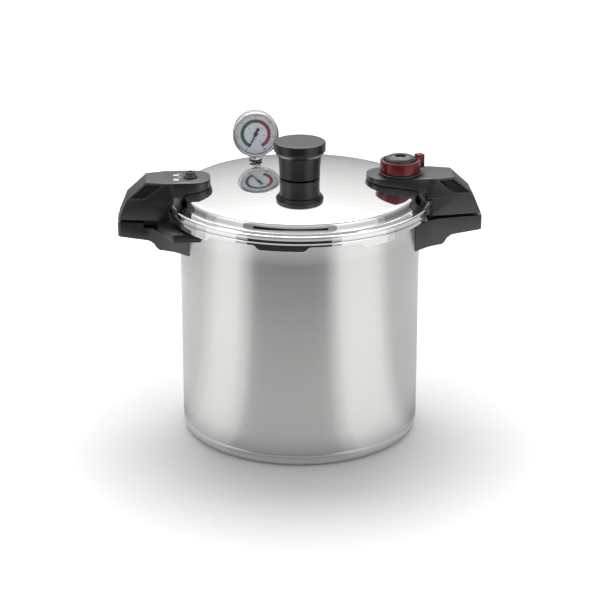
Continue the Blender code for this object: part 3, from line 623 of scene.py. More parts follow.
class GeometryTree(Graph):
    """A Geometry Nodes tree with named inputs."""

    def __init__(self, name: str, inputs: dict[str, tuple[str, object]]) -> None:
        """Make the tree and its interface.

        Args:
            name: The tree's name.
            inputs: Socket type and default of each named input.
        """
        tree = bpy.data.node_groups.new(name, "GeometryNodeTree")
        tree.interface.new_socket("Geometry", in_out="INPUT", socket_type="NodeSocketGeometry")
        tree.interface.new_socket("Geometry", in_out="OUTPUT", socket_type="NodeSocketGeometry")
        for key, (kind, default) in inputs.items():
            socket = tree.interface.new_socket(key, in_out="INPUT", socket_type=kind)
            if default is not None:
                socket.default_value = default
        super().__init__(tree)
        self.entry = tree.nodes.new("NodeGroupInput")

    def given(self, name: str) -> Value:
        """One of the tree's inputs."""
        return Value(self, self.entry.outputs[name])

    def close(self, geometry: Value) -> bpy.types.NodeTree:
        """Realize instances, set the material and end the tree.

        Args:
            geometry: What the tree has made.

        Returns:
            The finished tree.
        """
        real = self.node("GeometryNodeRealizeInstances", {0: geometry})
        dressed = self.node("GeometryNodeSetMaterial", {"Geometry": real, "Material": self.given("Material")})
        out = self.tree.nodes.new("NodeGroupOutput")
        self.tree.links.new(dressed.socket, out.inputs[0])
        return self.tree

    @staticmethod
    def apply(piece: bpy.types.Object, tree: bpy.types.NodeTree, **values: object) -> bpy.types.Object:
        """Run a tree on a piece and keep its result as a plain mesh.

        Args:
            piece: The piece whose mesh the tree starts from.
            tree: The tree.
            values: Values of the named inputs, with underscores for spaces.

        Returns:
            The piece.
        """
        modifier = piece.modifiers.new(tree.name, "NODES")
        modifier.node_group = tree
        sockets = {item.name: item.identifier for item in tree.interface.items_tree if item.in_out == "INPUT"}
        for key, value in values.items():
            modifier[sockets[key.replace("_", " ")]] = value
        return baked(piece)


def make_turning_tree() -> bpy.types.NodeTree:
    """Tree that turns a profile about Z, with lugs and gaps round it.

    The profile's points are in order. Their attributes push and lift say how far a
    point moves outwards and upwards in the gaps between lugs.

    Returns:
        The tree.
    """
    tree = GeometryTree(
        "turning",
        {
            "Segments": ("NodeSocketInt", 96),
            "Lug Count": ("NodeSocketFloat", 8.0),
            "Lug Middle": ("NodeSocketFloat", 0.0),
            "Lug Half Angle": ("NodeSocketFloat", 0.2),
            "Blend Angle": ("NodeSocketFloat", 0.02),
            "Material": ("NodeSocketMaterial", None),
        },
    )
    profile = tree.given("Geometry")
    count = tree.node("GeometryNodeAttributeDomainSize", {0: profile}, "Point Count")
    segments = tree.given("Segments")
    rows = segments + 1.0
    grid = tree.node("GeometryNodeMeshGrid", {"Vertices X": count, "Vertices Y": rows})
    index = tree.node("GeometryNodeInputIndex")
    column = tree.node("ShaderNodeMath", {0: index / rows + 0.00001}, operation="FLOOR")
    row = index - column * rows
    angle = row * (2 * math.pi) / segments

    def sampled(value: Value, kind: str) -> Value:
        """Value of a profile point for a grid column.

        Args:
            value: The value on the profile's points.
            kind: Its data type.

        Returns:
            The value on the grid's points.
        """
        return tree.node(
            "GeometryNodeSampleIndex", {"Geometry": profile, "Value": value, "Index": column}, data_type=kind
        )

    spot = sampled(tree.node("GeometryNodeInputPosition"), "FLOAT_VECTOR")
    radius = tree.node("ShaderNodeSeparateXYZ", {0: spot}, "X")
    height = tree.node("ShaderNodeSeparateXYZ", {0: spot}, "Z")
    push = sampled(tree.node("GeometryNodeInputNamedAttribute", {"Name": "push"}), "FLOAT")
    lift = sampled(tree.node("GeometryNodeInputNamedAttribute", {"Name": "lift"}), "FLOAT")
    turns = (angle - tree.given("Lug Middle")) * tree.given("Lug Count") / (2 * math.pi)
    nearest = tree.node("ShaderNodeMath", {0: turns}, operation="ROUND")
    apart = tree.node("ShaderNodeMath", {0: turns - nearest}, operation="ABSOLUTE")
    away = apart * (2 * math.pi) / tree.given("Lug Count")
    edge = tree.given("Lug Half Angle")
    half_blend = tree.given("Blend Angle") * 0.5
    limits = {"Value": away, "From Min": edge - half_blend, "From Max": edge + half_blend}
    gap = tree.node("ShaderNodeMapRange", limits, interpolation_type="SMOOTHSTEP")
    reach = radius + push * gap
    cosine = tree.node("ShaderNodeMath", {0: angle}, operation="COSINE")
    sine = tree.node("ShaderNodeMath", {0: angle}, operation="SINE")
    place = tree.node("ShaderNodeCombineXYZ", {0: reach * cosine, 1: reach * sine, 2: height + lift * gap})
    bent = tree.node("GeometryNodeSetPosition", {"Geometry": grid, "Position": place})
    return tree.close(tree.node("GeometryNodeMergeByDistance", {"Geometry": bent, "Distance": 0.000002}))


@dataclass
class Turner:
    """Turns profiles into pieces."""

    tree: bpy.types.NodeTree

    def turn(
        self,
        name: str,
        profile: list[Point],
        material: bpy.types.Material,
        segments: int = 96,
        centre: Point = (0.0, 0.0),
        closed: bool = False,
        gaps: list[Point] | None = None,
        sharp: float = 32.0,
        **lugs: float,
    ) -> bpy.types.Object:
        """Turn one profile about an upright axis.

        Args:
            name: The piece's name.
            profile: Its (radius, height) points.
            material: Its material.
            segments: Steps round the axis.
            centre: The axis's place.
            closed: Whether the profile is a loop.
            gaps: The (push, lift) of each point between lugs.
            sharp: Angle in degrees from which an edge is sharp.
            lugs: Values of the tree's lug inputs.

        Returns:
            The piece.
        """
        points = profile + profile[:1] if closed else profile
        moves = gaps or [(0.0, 0.0)] * len(profile)
        moves = moves + moves[:1] if closed else moves
        mesh = bpy.data.meshes.new(name)
        mesh.from_pydata([(r, 0.0, z) for r, z in points], [(i, i + 1) for i in range(len(points) - 1)], [])
        for key, column in (("push", 0), ("lift", 1)):
            values = mesh.attributes.new(key, "FLOAT", "POINT").data
            for value, move in zip(values, moves):
                value.value = move[column]
        piece = add_piece(name, mesh, material)
        GeometryTree.apply(piece, self.tree, Segments=segments, Material=material, **lugs)
        piece.data.transform(Matrix.Translation((centre[0], centre[1], 0.0)))
        settle(piece.data, sharp)
        return piece

    def renew(
        self,
        node: str,
        material: bpy.types.Material,
        corner: float,
        centre: Point = (0.0, 0.0),
        segments: int = 96,
    ) -> bpy.types.Object:
        """Turn a CAD node's own profile again, finely and with rounded corners.

        Args:
            node: The node's name.
            material: The piece's material.
            corner: Length cut from each side of a corner, at most.
            centre: The axis's place.
            segments: Steps round the axis.

        Returns:
            The piece.
        """
        points, closed = outline_of(node, centre)
        smooth = rounded(points, corner, 3, closed)
        return self.turn(node + "_fine", smooth, material, segments, centre, closed)


def softened(node: str, material: bpy.types.Material, width: float, limit: float = 24.0) -> bpy.types.Object:
    """Copy a CAD node, merge its flats and round its edges.

    Args:
        node: The node's name.
        material: The piece's material.
        width: Width of the rounding.
        limit: Angle in degrees from which an edge is rounded.

    Returns:
        The piece.
    """
    bm = bmesh.new()
    bm.from_mesh(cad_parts[node].data)
    bmesh.ops.remove_doubles(bm, verts=bm.verts[:], dist=2e-6)
    bmesh.ops.dissolve_degenerate(bm, edges=bm.edges[:], dist=5e-6)
    bmesh.ops.dissolve_limit(bm, angle_limit=math.radians(1.5), verts=bm.verts[:], edges=bm.edges[:])
    mesh = bpy.data.meshes.new(node + "_fine")
    bm.to_mesh(mesh)
    bm.free()
    piece = add_piece(node + "_fine", mesh, material)
    bevel = piece.modifiers.new("rounding", "BEVEL")
    bevel.width = width
    bevel.segments = 3
    bevel.limit_method = "ANGLE"
    bevel.angle_limit = math.radians(limit)
    bevel.use_clamp_overlap = True
    baked(piece)
    settle(piece.data, 38.0)
    return piece


def make_marks_tree() -> bpy.types.NodeTree:
    """Tree that sets bars round an arc, longer at every so many steps.

    Returns:
        The tree.
    """
    tree = GeometryTree(
        "marks",
        {
            "Count": ("NodeSocketInt", 30),
            "Radius": ("NodeSocketFloat", 0.02),
            "Start": ("NodeSocketFloat", 0.0),
            "Sweep": ("NodeSocketFloat", 3.0),
            "Length": ("NodeSocketFloat", 0.002),
            "Width": ("NodeSocketFloat", 0.0002),
            "Height": ("NodeSocketFloat", 0.00006),
            "Long Every": ("NodeSocketFloat", 5.0),
            "Long Factor": ("NodeSocketFloat", 1.6),
            "Material": ("NodeSocketMaterial", None),
        },
    )
    line = tree.node("GeometryNodeMeshLine", {"Count": tree.given("Count")})
    index = tree.node("GeometryNodeInputIndex")
    angle = tree.given("Start") + index * tree.given("Sweep") / (tree.given("Count") - 1.0)
    across = tree.node("ShaderNodeMath", {0: angle}, operation="SINE")
    up = tree.node("ShaderNodeMath", {0: angle}, operation="COSINE")
    radius = tree.given("Radius")
    place = tree.node("ShaderNodeCombineXYZ", {0: across * radius, 1: up * radius, 2: 0.0})
    spots = tree.node("GeometryNodeSetPosition", {"Geometry": line, "Position": place})
    beat = tree.node("ShaderNodeMath", {0: index, 1: tree.given("Long Every")}, operation="MODULO")
    stretch = (beat < 0.5) * (tree.given("Long Factor") - 1.0) + 1.0
    size = tree.node(
        "ShaderNodeCombineXYZ", {0: tree.given("Width"), 1: tree.given("Length"), 2: tree.given("Height")}
    )
    bar = tree.node("GeometryNodeMeshCube", {"Size": size})
    turn = tree.node("ShaderNodeCombineXYZ", {0: 0.0, 1: 0.0, 2: 0.0 - angle})
    scale = tree.node("ShaderNodeCombineXYZ", {0: 1.0, 1: stretch, 2: 1.0})
    bars = tree.node(
        "GeometryNodeInstanceOnPoints", {"Points": spots, "Instance": bar, "Rotation": turn, "Scale": scale}
    )
    return tree.close(bars)


def marks(
    name: str, tree: bpy.types.NodeTree, place: Matrix, material: bpy.types.Material, **values: object
) -> bpy.types.Object:
    """Set a row of marks round an arc, seen along the local Z axis, at a place.

    Args:
        name: The piece's name.
        tree: The tree that makes marks.
        place: Place and turn of the arc's centre.
        material: The marks' material.
        values: Values of the tree's named inputs.

    Returns:
        The piece.
    """
    piece = add_piece(name, bpy.data.meshes.new(name), material)
    GeometryTree.apply(piece, tree, Material=material, **values)
    piece.data.transform(place)
    return piece


def plate(
    name: str, outlines: list[list[Point]], height: float, material: bpy.types.Material
) -> bpy.types.Object:
    """Thin plates of one height from closed outlines.

    Args:
        name: The piece's name.
        outlines: Loops in X and Y, each a plate of its own.
        height: The plates' thickness, upwards from zero.
        material: Their material.

    Returns:
        The piece.
    """
    bm = bmesh.new()
    for outline in outlines:
        ring = [bm.verts.new((x, y, 0.0)) for x, y in outline]
        face = bm.faces.new(ring)
        lifted = bmesh.ops.extrude_face_region(bm, geom=[face])["geom"]
        moved = [item for item in lifted if isinstance(item, bmesh.types.BMVert)]
        bmesh.ops.translate(bm, verts=moved, vec=(0.0, 0.0, height))
    bmesh.ops.recalc_face_normals(bm, faces=bm.faces[:])
    mesh = bpy.data.meshes.new(name)
    bm.to_mesh(mesh)
    bm.free()
    return add_piece(name, mesh, material)


def lettering(text: str, size: float, place: Matrix, height: float) -> bpy.types.Mesh:
    """Make the mesh of a short number, centred on its place.

    Args:
        text: The number.
        size: Height of its line.
        place: Its place and turn.
        height: How far it stands out on each side.

    Returns:
        The mesh.
    """
    curve = bpy.data.curves.new("figure", "FONT")
    curve.body = text
    curve.size = size
    curve.align_x = "CENTER"
    curve.align_y = "CENTER"
    curve.extrude = height
    curve.resolution_u = 3
    holder = bpy.data.objects.new("figure", curve)
    bpy.context.scene.collection.objects.link(holder)
    graph = bpy.context.evaluated_depsgraph_get()
    mesh = bpy.data.meshes.new_from_object(holder.evaluated_get(graph))
    bpy.data.objects.remove(holder)
    mesh.transform(place)
    return mesh


def joined(name: str, meshes: list[bpy.types.Mesh], material: bpy.types.Material) -> bpy.types.Object:
    """Put several meshes in one piece.

    Args:
        name: The piece's name.
        meshes: The meshes, each in its place.
        material: The piece's material.

    Returns:
        The piece.
    """
    bm = bmesh.new()
    for mesh in meshes:
        bm.from_mesh(mesh)
    whole = bpy.data.meshes.new(name)
    bm.to_mesh(whole)
    bm.free()
    return add_piece(name, whole, material)


def drill(piece: bpy.types.Object, holes: list[Place], low: float, high: float) -> None:
    """Cut round upright holes through a piece.

    Args:
        piece: The piece.
        holes: X, Y and radius of each hole.
        low: Foot of the cutters.
        high: Top of the cutters.
    """
    bm = bmesh.new()
    for x, y, radius in holes:
        place = Matrix.Translation((x, y, (low + high) / 2))
        bmesh.ops.create_cone(
            bm, cap_ends=True, segments=48, radius1=radius, radius2=radius, depth=high - low, matrix=place
        )
    mesh = bpy.data.meshes.new("drill")
    bm.to_mesh(mesh)
    bm.free()
    tool = bpy.data.objects.new("drill", mesh)
    bpy.context.scene.collection.objects.link(tool)
    cut = piece.modifiers.new("holes", "BOOLEAN")
    cut.object = tool
    cut.solver = "EXACT"
    baked(piece)
    bpy.data.objects.remove(tool)


# ------------------------------------------------------------------ the pot

@dataclass
class Pot:
    """Drawn pot with a base line, a flange and locking lugs, its handles and their fixings."""

    turner: Turner
    finishes: Finishes
    radius: float = 0.1525
    wall: float = 0.0030
    rim: float = 0.2798
    flange: float = 0.1570
    lug_radius: float = 0.1623
    lug_foot: float = 0.2743
    groove: float = -0.0055
    floor_thickness: float = 0.0032
    lug_angle: float = math.radians(20.0)
    lug_blend: float = math.radians(2.2)

    def profile(self) -> tuple[list[Point], list[Point]]:
        """Outline from the bottom's centre round to the inside floor.

        Returns:
            Its (radius, height) points, and how each moves between lugs.
        """
        foot = FLOOR - DATUM
        corner = [(0.1425, foot), (0.1445, foot + 0.0003), (0.1463, foot + 0.0013), (0.1482, foot + 0.0028)]
        corner += [(0.1497, foot + 0.0048), (0.1509, foot + 0.0072), (0.1517, foot + 0.0100)]
        corner += [(0.1522, foot + 0.0125), (self.radius - 0.0001, self.groove - 0.0024)]
        line = [(self.radius - 0.0002, self.groove - 0.0016), (self.radius - 0.0011, self.groove - 0.0010)]
        line += [(self.radius - 0.0014, self.groove), (self.radius - 0.0011, self.groove + 0.0010)]
        line += [(self.radius - 0.0002, self.groove + 0.0016), (self.radius, self.groove + 0.0024)]
        wall = [(self.radius, 0.02 + 0.025 * i) for i in range(10)]
        neck = [(self.radius, self.lug_foot - 0.0012), (self.radius + 0.0004, self.lug_foot - 0.0003)]
        neck += [(self.radius + 0.0013, self.lug_foot)]
        top = self.rim
        lug = [(self.lug_radius - 0.0006, self.lug_foot), (self.lug_radius, self.lug_foot + 0.0006)]
        lug += [(self.lug_radius, top - 0.0006), (self.lug_radius - 0.0006, top)]
        inside = self.radius - self.wall
        back = [(inside + 0.0006, top), (inside, top - 0.0006)]
        back += [(inside, z) for z in (0.24, 0.20, 0.15, 0.10, 0.05, 0.02)]
        bottom = foot + self.floor_thickness
        back += arc((inside - 0.006, bottom + 0.006), 0.006, 0.0, -90.0)
        back += [(0.10, bottom), (0.05, bottom), (0.0, bottom)]
        points = [(0.0, foot), (0.07, foot)] + corner + line + wall + neck + lug + back
        moves = [(0.0, 0.0)] * (2 + len(corner + line + wall + neck))
        moves += [(self.flange - self.lug_radius, 0.0)] * len(lug)
        moves += [(0.0, 0.0)] * len(back)
        return points, moves

    def build(self) -> None:
        """Build and dress the pot."""
        points, moves = self.profile()
        shell = self.turner.turn(
            "pot_wall",
            [(r, z + DATUM) for r, z in points],
            self.finishes.brushed,
            segments=384,
            gaps=moves,
            sharp=28.0,
            Lug_Middle=FIRST_LUG,
            Lug_Half_Angle=self.lug_angle / 2,
            Blend_Angle=self.lug_blend,
        )
        fit(shell, Body.POT, Slot.BRUSHED, "pot_shell")
        for side in Side:
            name = side.name.lower()
            grip = softened(f"pot_handle_{name}", self.finishes.phenolic, 0.0011)
            fit(grip, Body.POT, Slot.PHENOLIC, f"pot_handle_{name}")
            bracket = softened(f"pot_bracket_{name}", self.finishes.steel, 0.0004)
            fit(bracket, Body.POT, Slot.STEEL, f"pot_bracket_{name}")
            for fixing in (f"pot_rivet_{name}_front", f"pot_rivet_{name}_back", f"pot_handle_screw_{name}"):
                head = softened(fixing, self.finishes.steel, 0.0003)
                fit(head, Body.POT, Slot.STEEL, fixing)


# ------------------------------------------------------------------ the lid

@dataclass
class Lid:
    """Domed lid with a ledge, a rolled bead and a skirt notched between its lugs."""

    turner: Turner
    finishes: Finishes
    rise: float = 0.0140
    disc: float = 0.1500
    sheet: float = 0.0025
    lug_angle: float = math.radians(21.3)
    lug_blend: float = math.radians(2.6)
    notch_lift: float = 0.0055
    hub: float = 0.0034
    stem_hole: float = 0.0052
    vent_hole: float = 0.0060
    plug_hole: float = 0.0050
    screw_hole: float = 0.0030
    screw_place: Point = (0.1340, 0.0190)
    drilling: Point = (0.2860, 0.3200)

    def dome(self, radius: float) -> float:
        """Height of the lid's upper face at a radius."""
        return CROWN - self.rise * (radius / self.disc) ** 2

    def profile(self) -> tuple[list[Point], list[Point]]:
        """Closed outline of the lid, from the hub's edge outwards and back underneath.

        Returns:
            Its (radius, height) points, and how each moves between lugs.
        """
        disc = [(r, self.dome(r)) for r in np.linspace(self.hub, 0.1470, 30)]
        edge = [(0.1486, 0.2976), (0.1496, 0.29685), (0.1503, 0.2957), (0.1508, 0.2942), (0.1513, 0.2921)]
        edge += [(0.1518, 0.2900), (0.1522, 0.2886), (0.1527, 0.2877), (0.1534, 0.2872), (0.1545, 0.2870)]
        ledge = [(0.1590, 0.2870), (0.1634, 0.2870), (0.1643, 0.2873)]
        bead = arc((0.16625, 0.28605), 0.00205, 125.0, -75.0, 9)
        wall = [(0.1666, 0.2832), (0.1665, 0.2826), (0.1665, 0.2790), (0.1667, 0.27855), (0.1670, 0.2781)]
        wall += [(0.1667, 0.27765), (0.1665, 0.2772), (0.1665, 0.2768), (0.1665, 0.2757)]
        hem = [(0.1665, 0.2696), (0.1665, 0.2688), (0.16645, 0.26845), (0.1661, 0.2681), (0.1657, 0.2680)]
        toe = [(0.1586, 0.2680), (0.1582, 0.2682), (0.1580, 0.2686)]
        heel = [(0.1580, 0.2720), (0.1582, 0.2724), (0.1586, 0.2726)]
        crease = [(0.1630, 0.2726), (0.1634, 0.2728), (0.1636, 0.2732)]
        inner = [(0.1636, 0.2780), (0.1636, 0.2836), (0.1629, 0.2843)]
        under = [(0.1516, 0.2843), (0.1506, 0.2846), (0.1497, 0.2855), (0.1492, 0.2866)]
        under += [(0.1487, 0.2890), (0.1482, 0.2917), (0.1477, 0.2938), (0.1470, 0.2951), (0.1458, 0.2958)]
        below = [(r, self.dome(r) - self.sheet) for r in np.linspace(0.1430, self.hub, 24)]
        lift = self.notch_lift
        points = disc + edge + ledge + bead + wall
        moves = [(0.0, 0.0)] * len(points)
        points = points + hem + toe + heel + crease + inner + under + below
        moves += [(0.0, lift)] * len(hem)
        moves += [(0.0053 - 0.0001 * i, lift) for i in range(len(toe))]
        moves += [(0.0056, 0.0030), (0.0054, 0.0030), (0.0050, 0.0032)]
        moves += [(0.0006, 0.0034), (0.0002, 0.0036), (0.0, 0.0038)]
        moves += [(0.0, 0.0)] * (len(inner) + len(under) + len(below))
        return points, moves

    def holes(self) -> list[Place]:
        """Holes for what stands on the lid.

        Returns:
            X, Y and radius of each.
        """
        holes = [(*REGULATOR_AT, self.vent_hole), (*LOCK_AT, self.stem_hole), (*GAUGE_AT, self.stem_hole)]
        holes.append((*PLUG_AT, self.plug_hole))
        across, along = self.screw_place
        return holes + [(x, y, self.screw_hole) for x in (-across, across) for y in (-along, along)]

    def build(self) -> None:
        """Build and dress the lid, its gasket and its safety plug."""
        points, moves = self.profile()
        shell = self.turner.turn(
            "lid_dome",
            [(float(r), float(z) + DATUM) for r, z in points],
            self.finishes.polished,
            segments=384,
            closed=True,
            gaps=moves,
            sharp=40.0,
            Lug_Middle=FIRST_LUG,
            Lug_Half_Angle=self.lug_angle / 2,
            Blend_Angle=self.lug_blend,
        )
        low, high = self.drilling
        drill(shell, self.holes(), DATUM + low, DATUM + high)
        settle(shell.data, 40.0)
        fit(shell, Body.LID, Slot.POLISHED, "lid_shell")
        ring = self.turner.renew("lid_gasket", self.finishes.rubber, 0.0004, segments=192)
        fit(ring, Body.GASKET, Slot.RUBBER, "lid_gasket")
        plug = self.turner.renew("overpressure_plug", self.finishes.rubber, 0.0004, PLUG_AT, 48)
        fit(plug, Body.LID, Slot.RUBBER, "overpressure_plug")


@dataclass
class LidHandles:
    """Two moulded lid handles, with the lock's signs on the left one."""

    finishes: Finishes
    rounding: float = 0.0011
    arm_top: float = 0.3140
    signs: Point = (-0.1560, 0.0)
    sign_scale: float = 1.7
    print_height: float = 0.00008
    panel: tuple[Place, ...] = (
        (0.1745, 0.0262, 0.3110),
        (0.1925, 0.0205, 0.3110),
        (0.2145, 0.0232, 0.2940),
        (0.1955, 0.0266, 0.2940),
    )
    panel_depth: float = 0.0012
    panel_margin: float = 0.0007
    inlay_back: float = -0.0003
    inlay_front: float = 0.00012

    def inlay(self, name: str, side: Side, face: Face) -> bpy.types.Object:
        """Smooth black floor of the sunk panel in one slanted face of a grip.

        Args:
            name: The piece's name.
            side: The grip's side.
            face: The slanted face.

        Returns:
            The piece.
        """
        corners = []
        for x, y, z in self.panel:
            corners.append(Vector((side.value * x, face.value * (y - self.panel_depth), z + DATUM)))
        middle = sum(corners, Vector()) / len(corners)
        flat = [(c - middle) * (1.0 - self.panel_margin / (c - middle).length) + middle for c in corners]
        outwards = (corners[1] - corners[0]).cross(corners[3] - corners[0]).normalized()
        outwards *= face.value * math.copysign(1.0, outwards.y)
        bm = bmesh.new()
        rings = []
        for rise in (self.inlay_back, self.inlay_front):
            rings.append([bm.verts.new(c + outwards * rise) for c in flat])
        bm.faces.new(rings[0])
        bm.faces.new(rings[1])
        for i in range(4):
            bm.faces.new((rings[0][i - 1], rings[0][i], rings[1][i], rings[1][i - 1]))
        bmesh.ops.recalc_face_normals(bm, faces=bm.faces[:])
        mesh = bpy.data.meshes.new(name)
        bm.to_mesh(mesh)
        bm.free()
        return add_piece(name, mesh, self.finishes.inlay)

    def padlock(self, centre: Point, is_open: bool) -> list[list[Point]]:
        """Outlines of a small padlock seen from above.

        Args:
            centre: Its place.
            is_open: Whether its bow is swung aside.

        Returns:
            The loops of its body and its bow.
        """
        x, y = centre
        body = [(-0.0020, -0.0026), (0.0020, -0.0026), (0.0020, 0.0004), (-0.0020, 0.0004)]
        shift = 0.0022 if is_open else 0.0
        outer = arc((shift, 0.0014), 0.0015, 0.0, 180.0, 8)
        inner = arc((shift, 0.0014), 0.0009, 180.0, 0.0, 8)
        bow = [(shift + 0.0015, 0.0006)] + outer + [(shift - 0.0015, 0.0006), (shift - 0.0009, 0.0006)]
        bow += inner + [(shift + 0.0009, 0.0006)]
        size = self.sign_scale
        loops = (rounded(body, 0.0005, 3, True), bow)
        return [[(x + size * px, y + size * py) for px, py in loop] for loop in loops]

    def build(self) -> None:
        """Build and dress both handles."""
        for side in Side:
            name = side.name.lower()
            grip = softened(f"lid_handle_{name}", self.finishes.phenolic, self.rounding)
            fit(grip, Body.LID, Slot.PHENOLIC, f"lid_handle_{name}")
            for face in Face:
                row = face.name.lower()
                fit(self.inlay(f"grip_panel_{name}_{row}", side, face), Body.LID, Slot.PHENOLIC)
                screw = f"lid_handle_screw_{name}_{row}"
                fit(softened(screw, self.finishes.steel, 0.0003), Body.LID, Slot.STEEL, screw)
        x, y = self.signs
        loops = self.padlock((x, y - 0.0100), False) + self.padlock((x, y + 0.0100), True)
        pointer = [(x + 0.0060, y - 0.0018), (x + 0.0060, y + 0.0018), (x + 0.0025, y)]
        signs = plate("lock_signs", loops + [pointer], self.print_height, self.finishes.white)
        signs.data.transform(Matrix.Translation((0.0, 0.0, DATUM + self.arm_top)))
        fit(signs, Body.LID, Slot.DIAL)


@dataclass
class Knob:
    """Waisted knob with a cap, screwed to the lid's crown."""

    turner: Turner
    finishes: Finishes
    foot: float = 0.3125
    seam: float = 0.3412
    top: float = 0.3590
    foot_radius: float = 0.02565
    waist_radius: float = 0.02765
    cap_radius: float = 0.03275
    bore: float = 0.0082

    def body_profile(self) -> list[Point]:
        """Closed outline of the waisted body, flaring up to the cap's seam.

        Returns:
            Its (radius, height) points.
        """
        height = self.seam - self.foot
        side = [(self.foot_radius - 0.0008, self.foot), (self.foot_radius, self.foot + 0.0008)]
        for share in (0.15, 0.3, 0.45, 0.6, 0.72, 0.82, 0.90, 0.95):
            bulge = share ** 2.2
            spread = (self.waist_radius - self.foot_radius) * bulge
            side.append((self.foot_radius + spread, self.foot + height * share))
        side += [(self.waist_radius, self.seam - 0.0006), (self.waist_radius - 0.0006, self.seam)]
        return side + [(self.bore, self.seam), (self.bore, self.foot)]

    def cap_profile(self) -> list[Point]:
        """Outline of the cap from its recess round to its slightly domed top.

        Returns:
            Its (radius, height) points.
        """
        low = self.seam + 0.0003
        under = [(self.bore, low), (self.waist_radius + 0.0010, low)]
        under += [(self.waist_radius + 0.0022, low + 0.0008)]
        under += [(self.cap_radius - 0.0010, low + 0.0043), (self.cap_radius - 0.0002, low + 0.0052)]
        rim = [(self.cap_radius, low + 0.0062), (self.cap_radius, self.top - 0.0030)]
        rim += arc((self.cap_radius - 0.0020, self.top - 0.0026), 0.0020, 0.0, 80.0, 5)
        crown = [(self.cap_radius - 0.0040, self.top - 0.0004), (0.0200, self.top - 0.0001)]
        crown += [(0.0080, self.top), (0.0, self.top)]
        recess = [(0.0, self.top - 0.0040), (self.bore, self.top - 0.0040)]
        return recess + under + rim + crown

    def build(self) -> None:
        """Build and dress the knob."""
        body = [(r, z + DATUM) for r, z in self.body_profile()]
        cap = [(r, z + DATUM) for r, z in self.cap_profile()]
        piece = self.turner.turn("knob_waist", body, self.finishes.knob, 128, closed=True)
        fit(piece, Body.LID, Slot.PHENOLIC, "knob_body")
        piece = self.turner.turn("knob_top", cap, self.finishes.knob, 128)
        fit(piece, Body.LID, Slot.PHENOLIC, "knob_cap")
        for node in ("knob_washer", "knob_screw"):
            fit(softened(node, self.finishes.steel, 0.0003), Body.LID, Slot.STEEL, node)
        dress(self.finishes.brass, "knob_insert")


# ------------------------------------------------------------------ the gauge

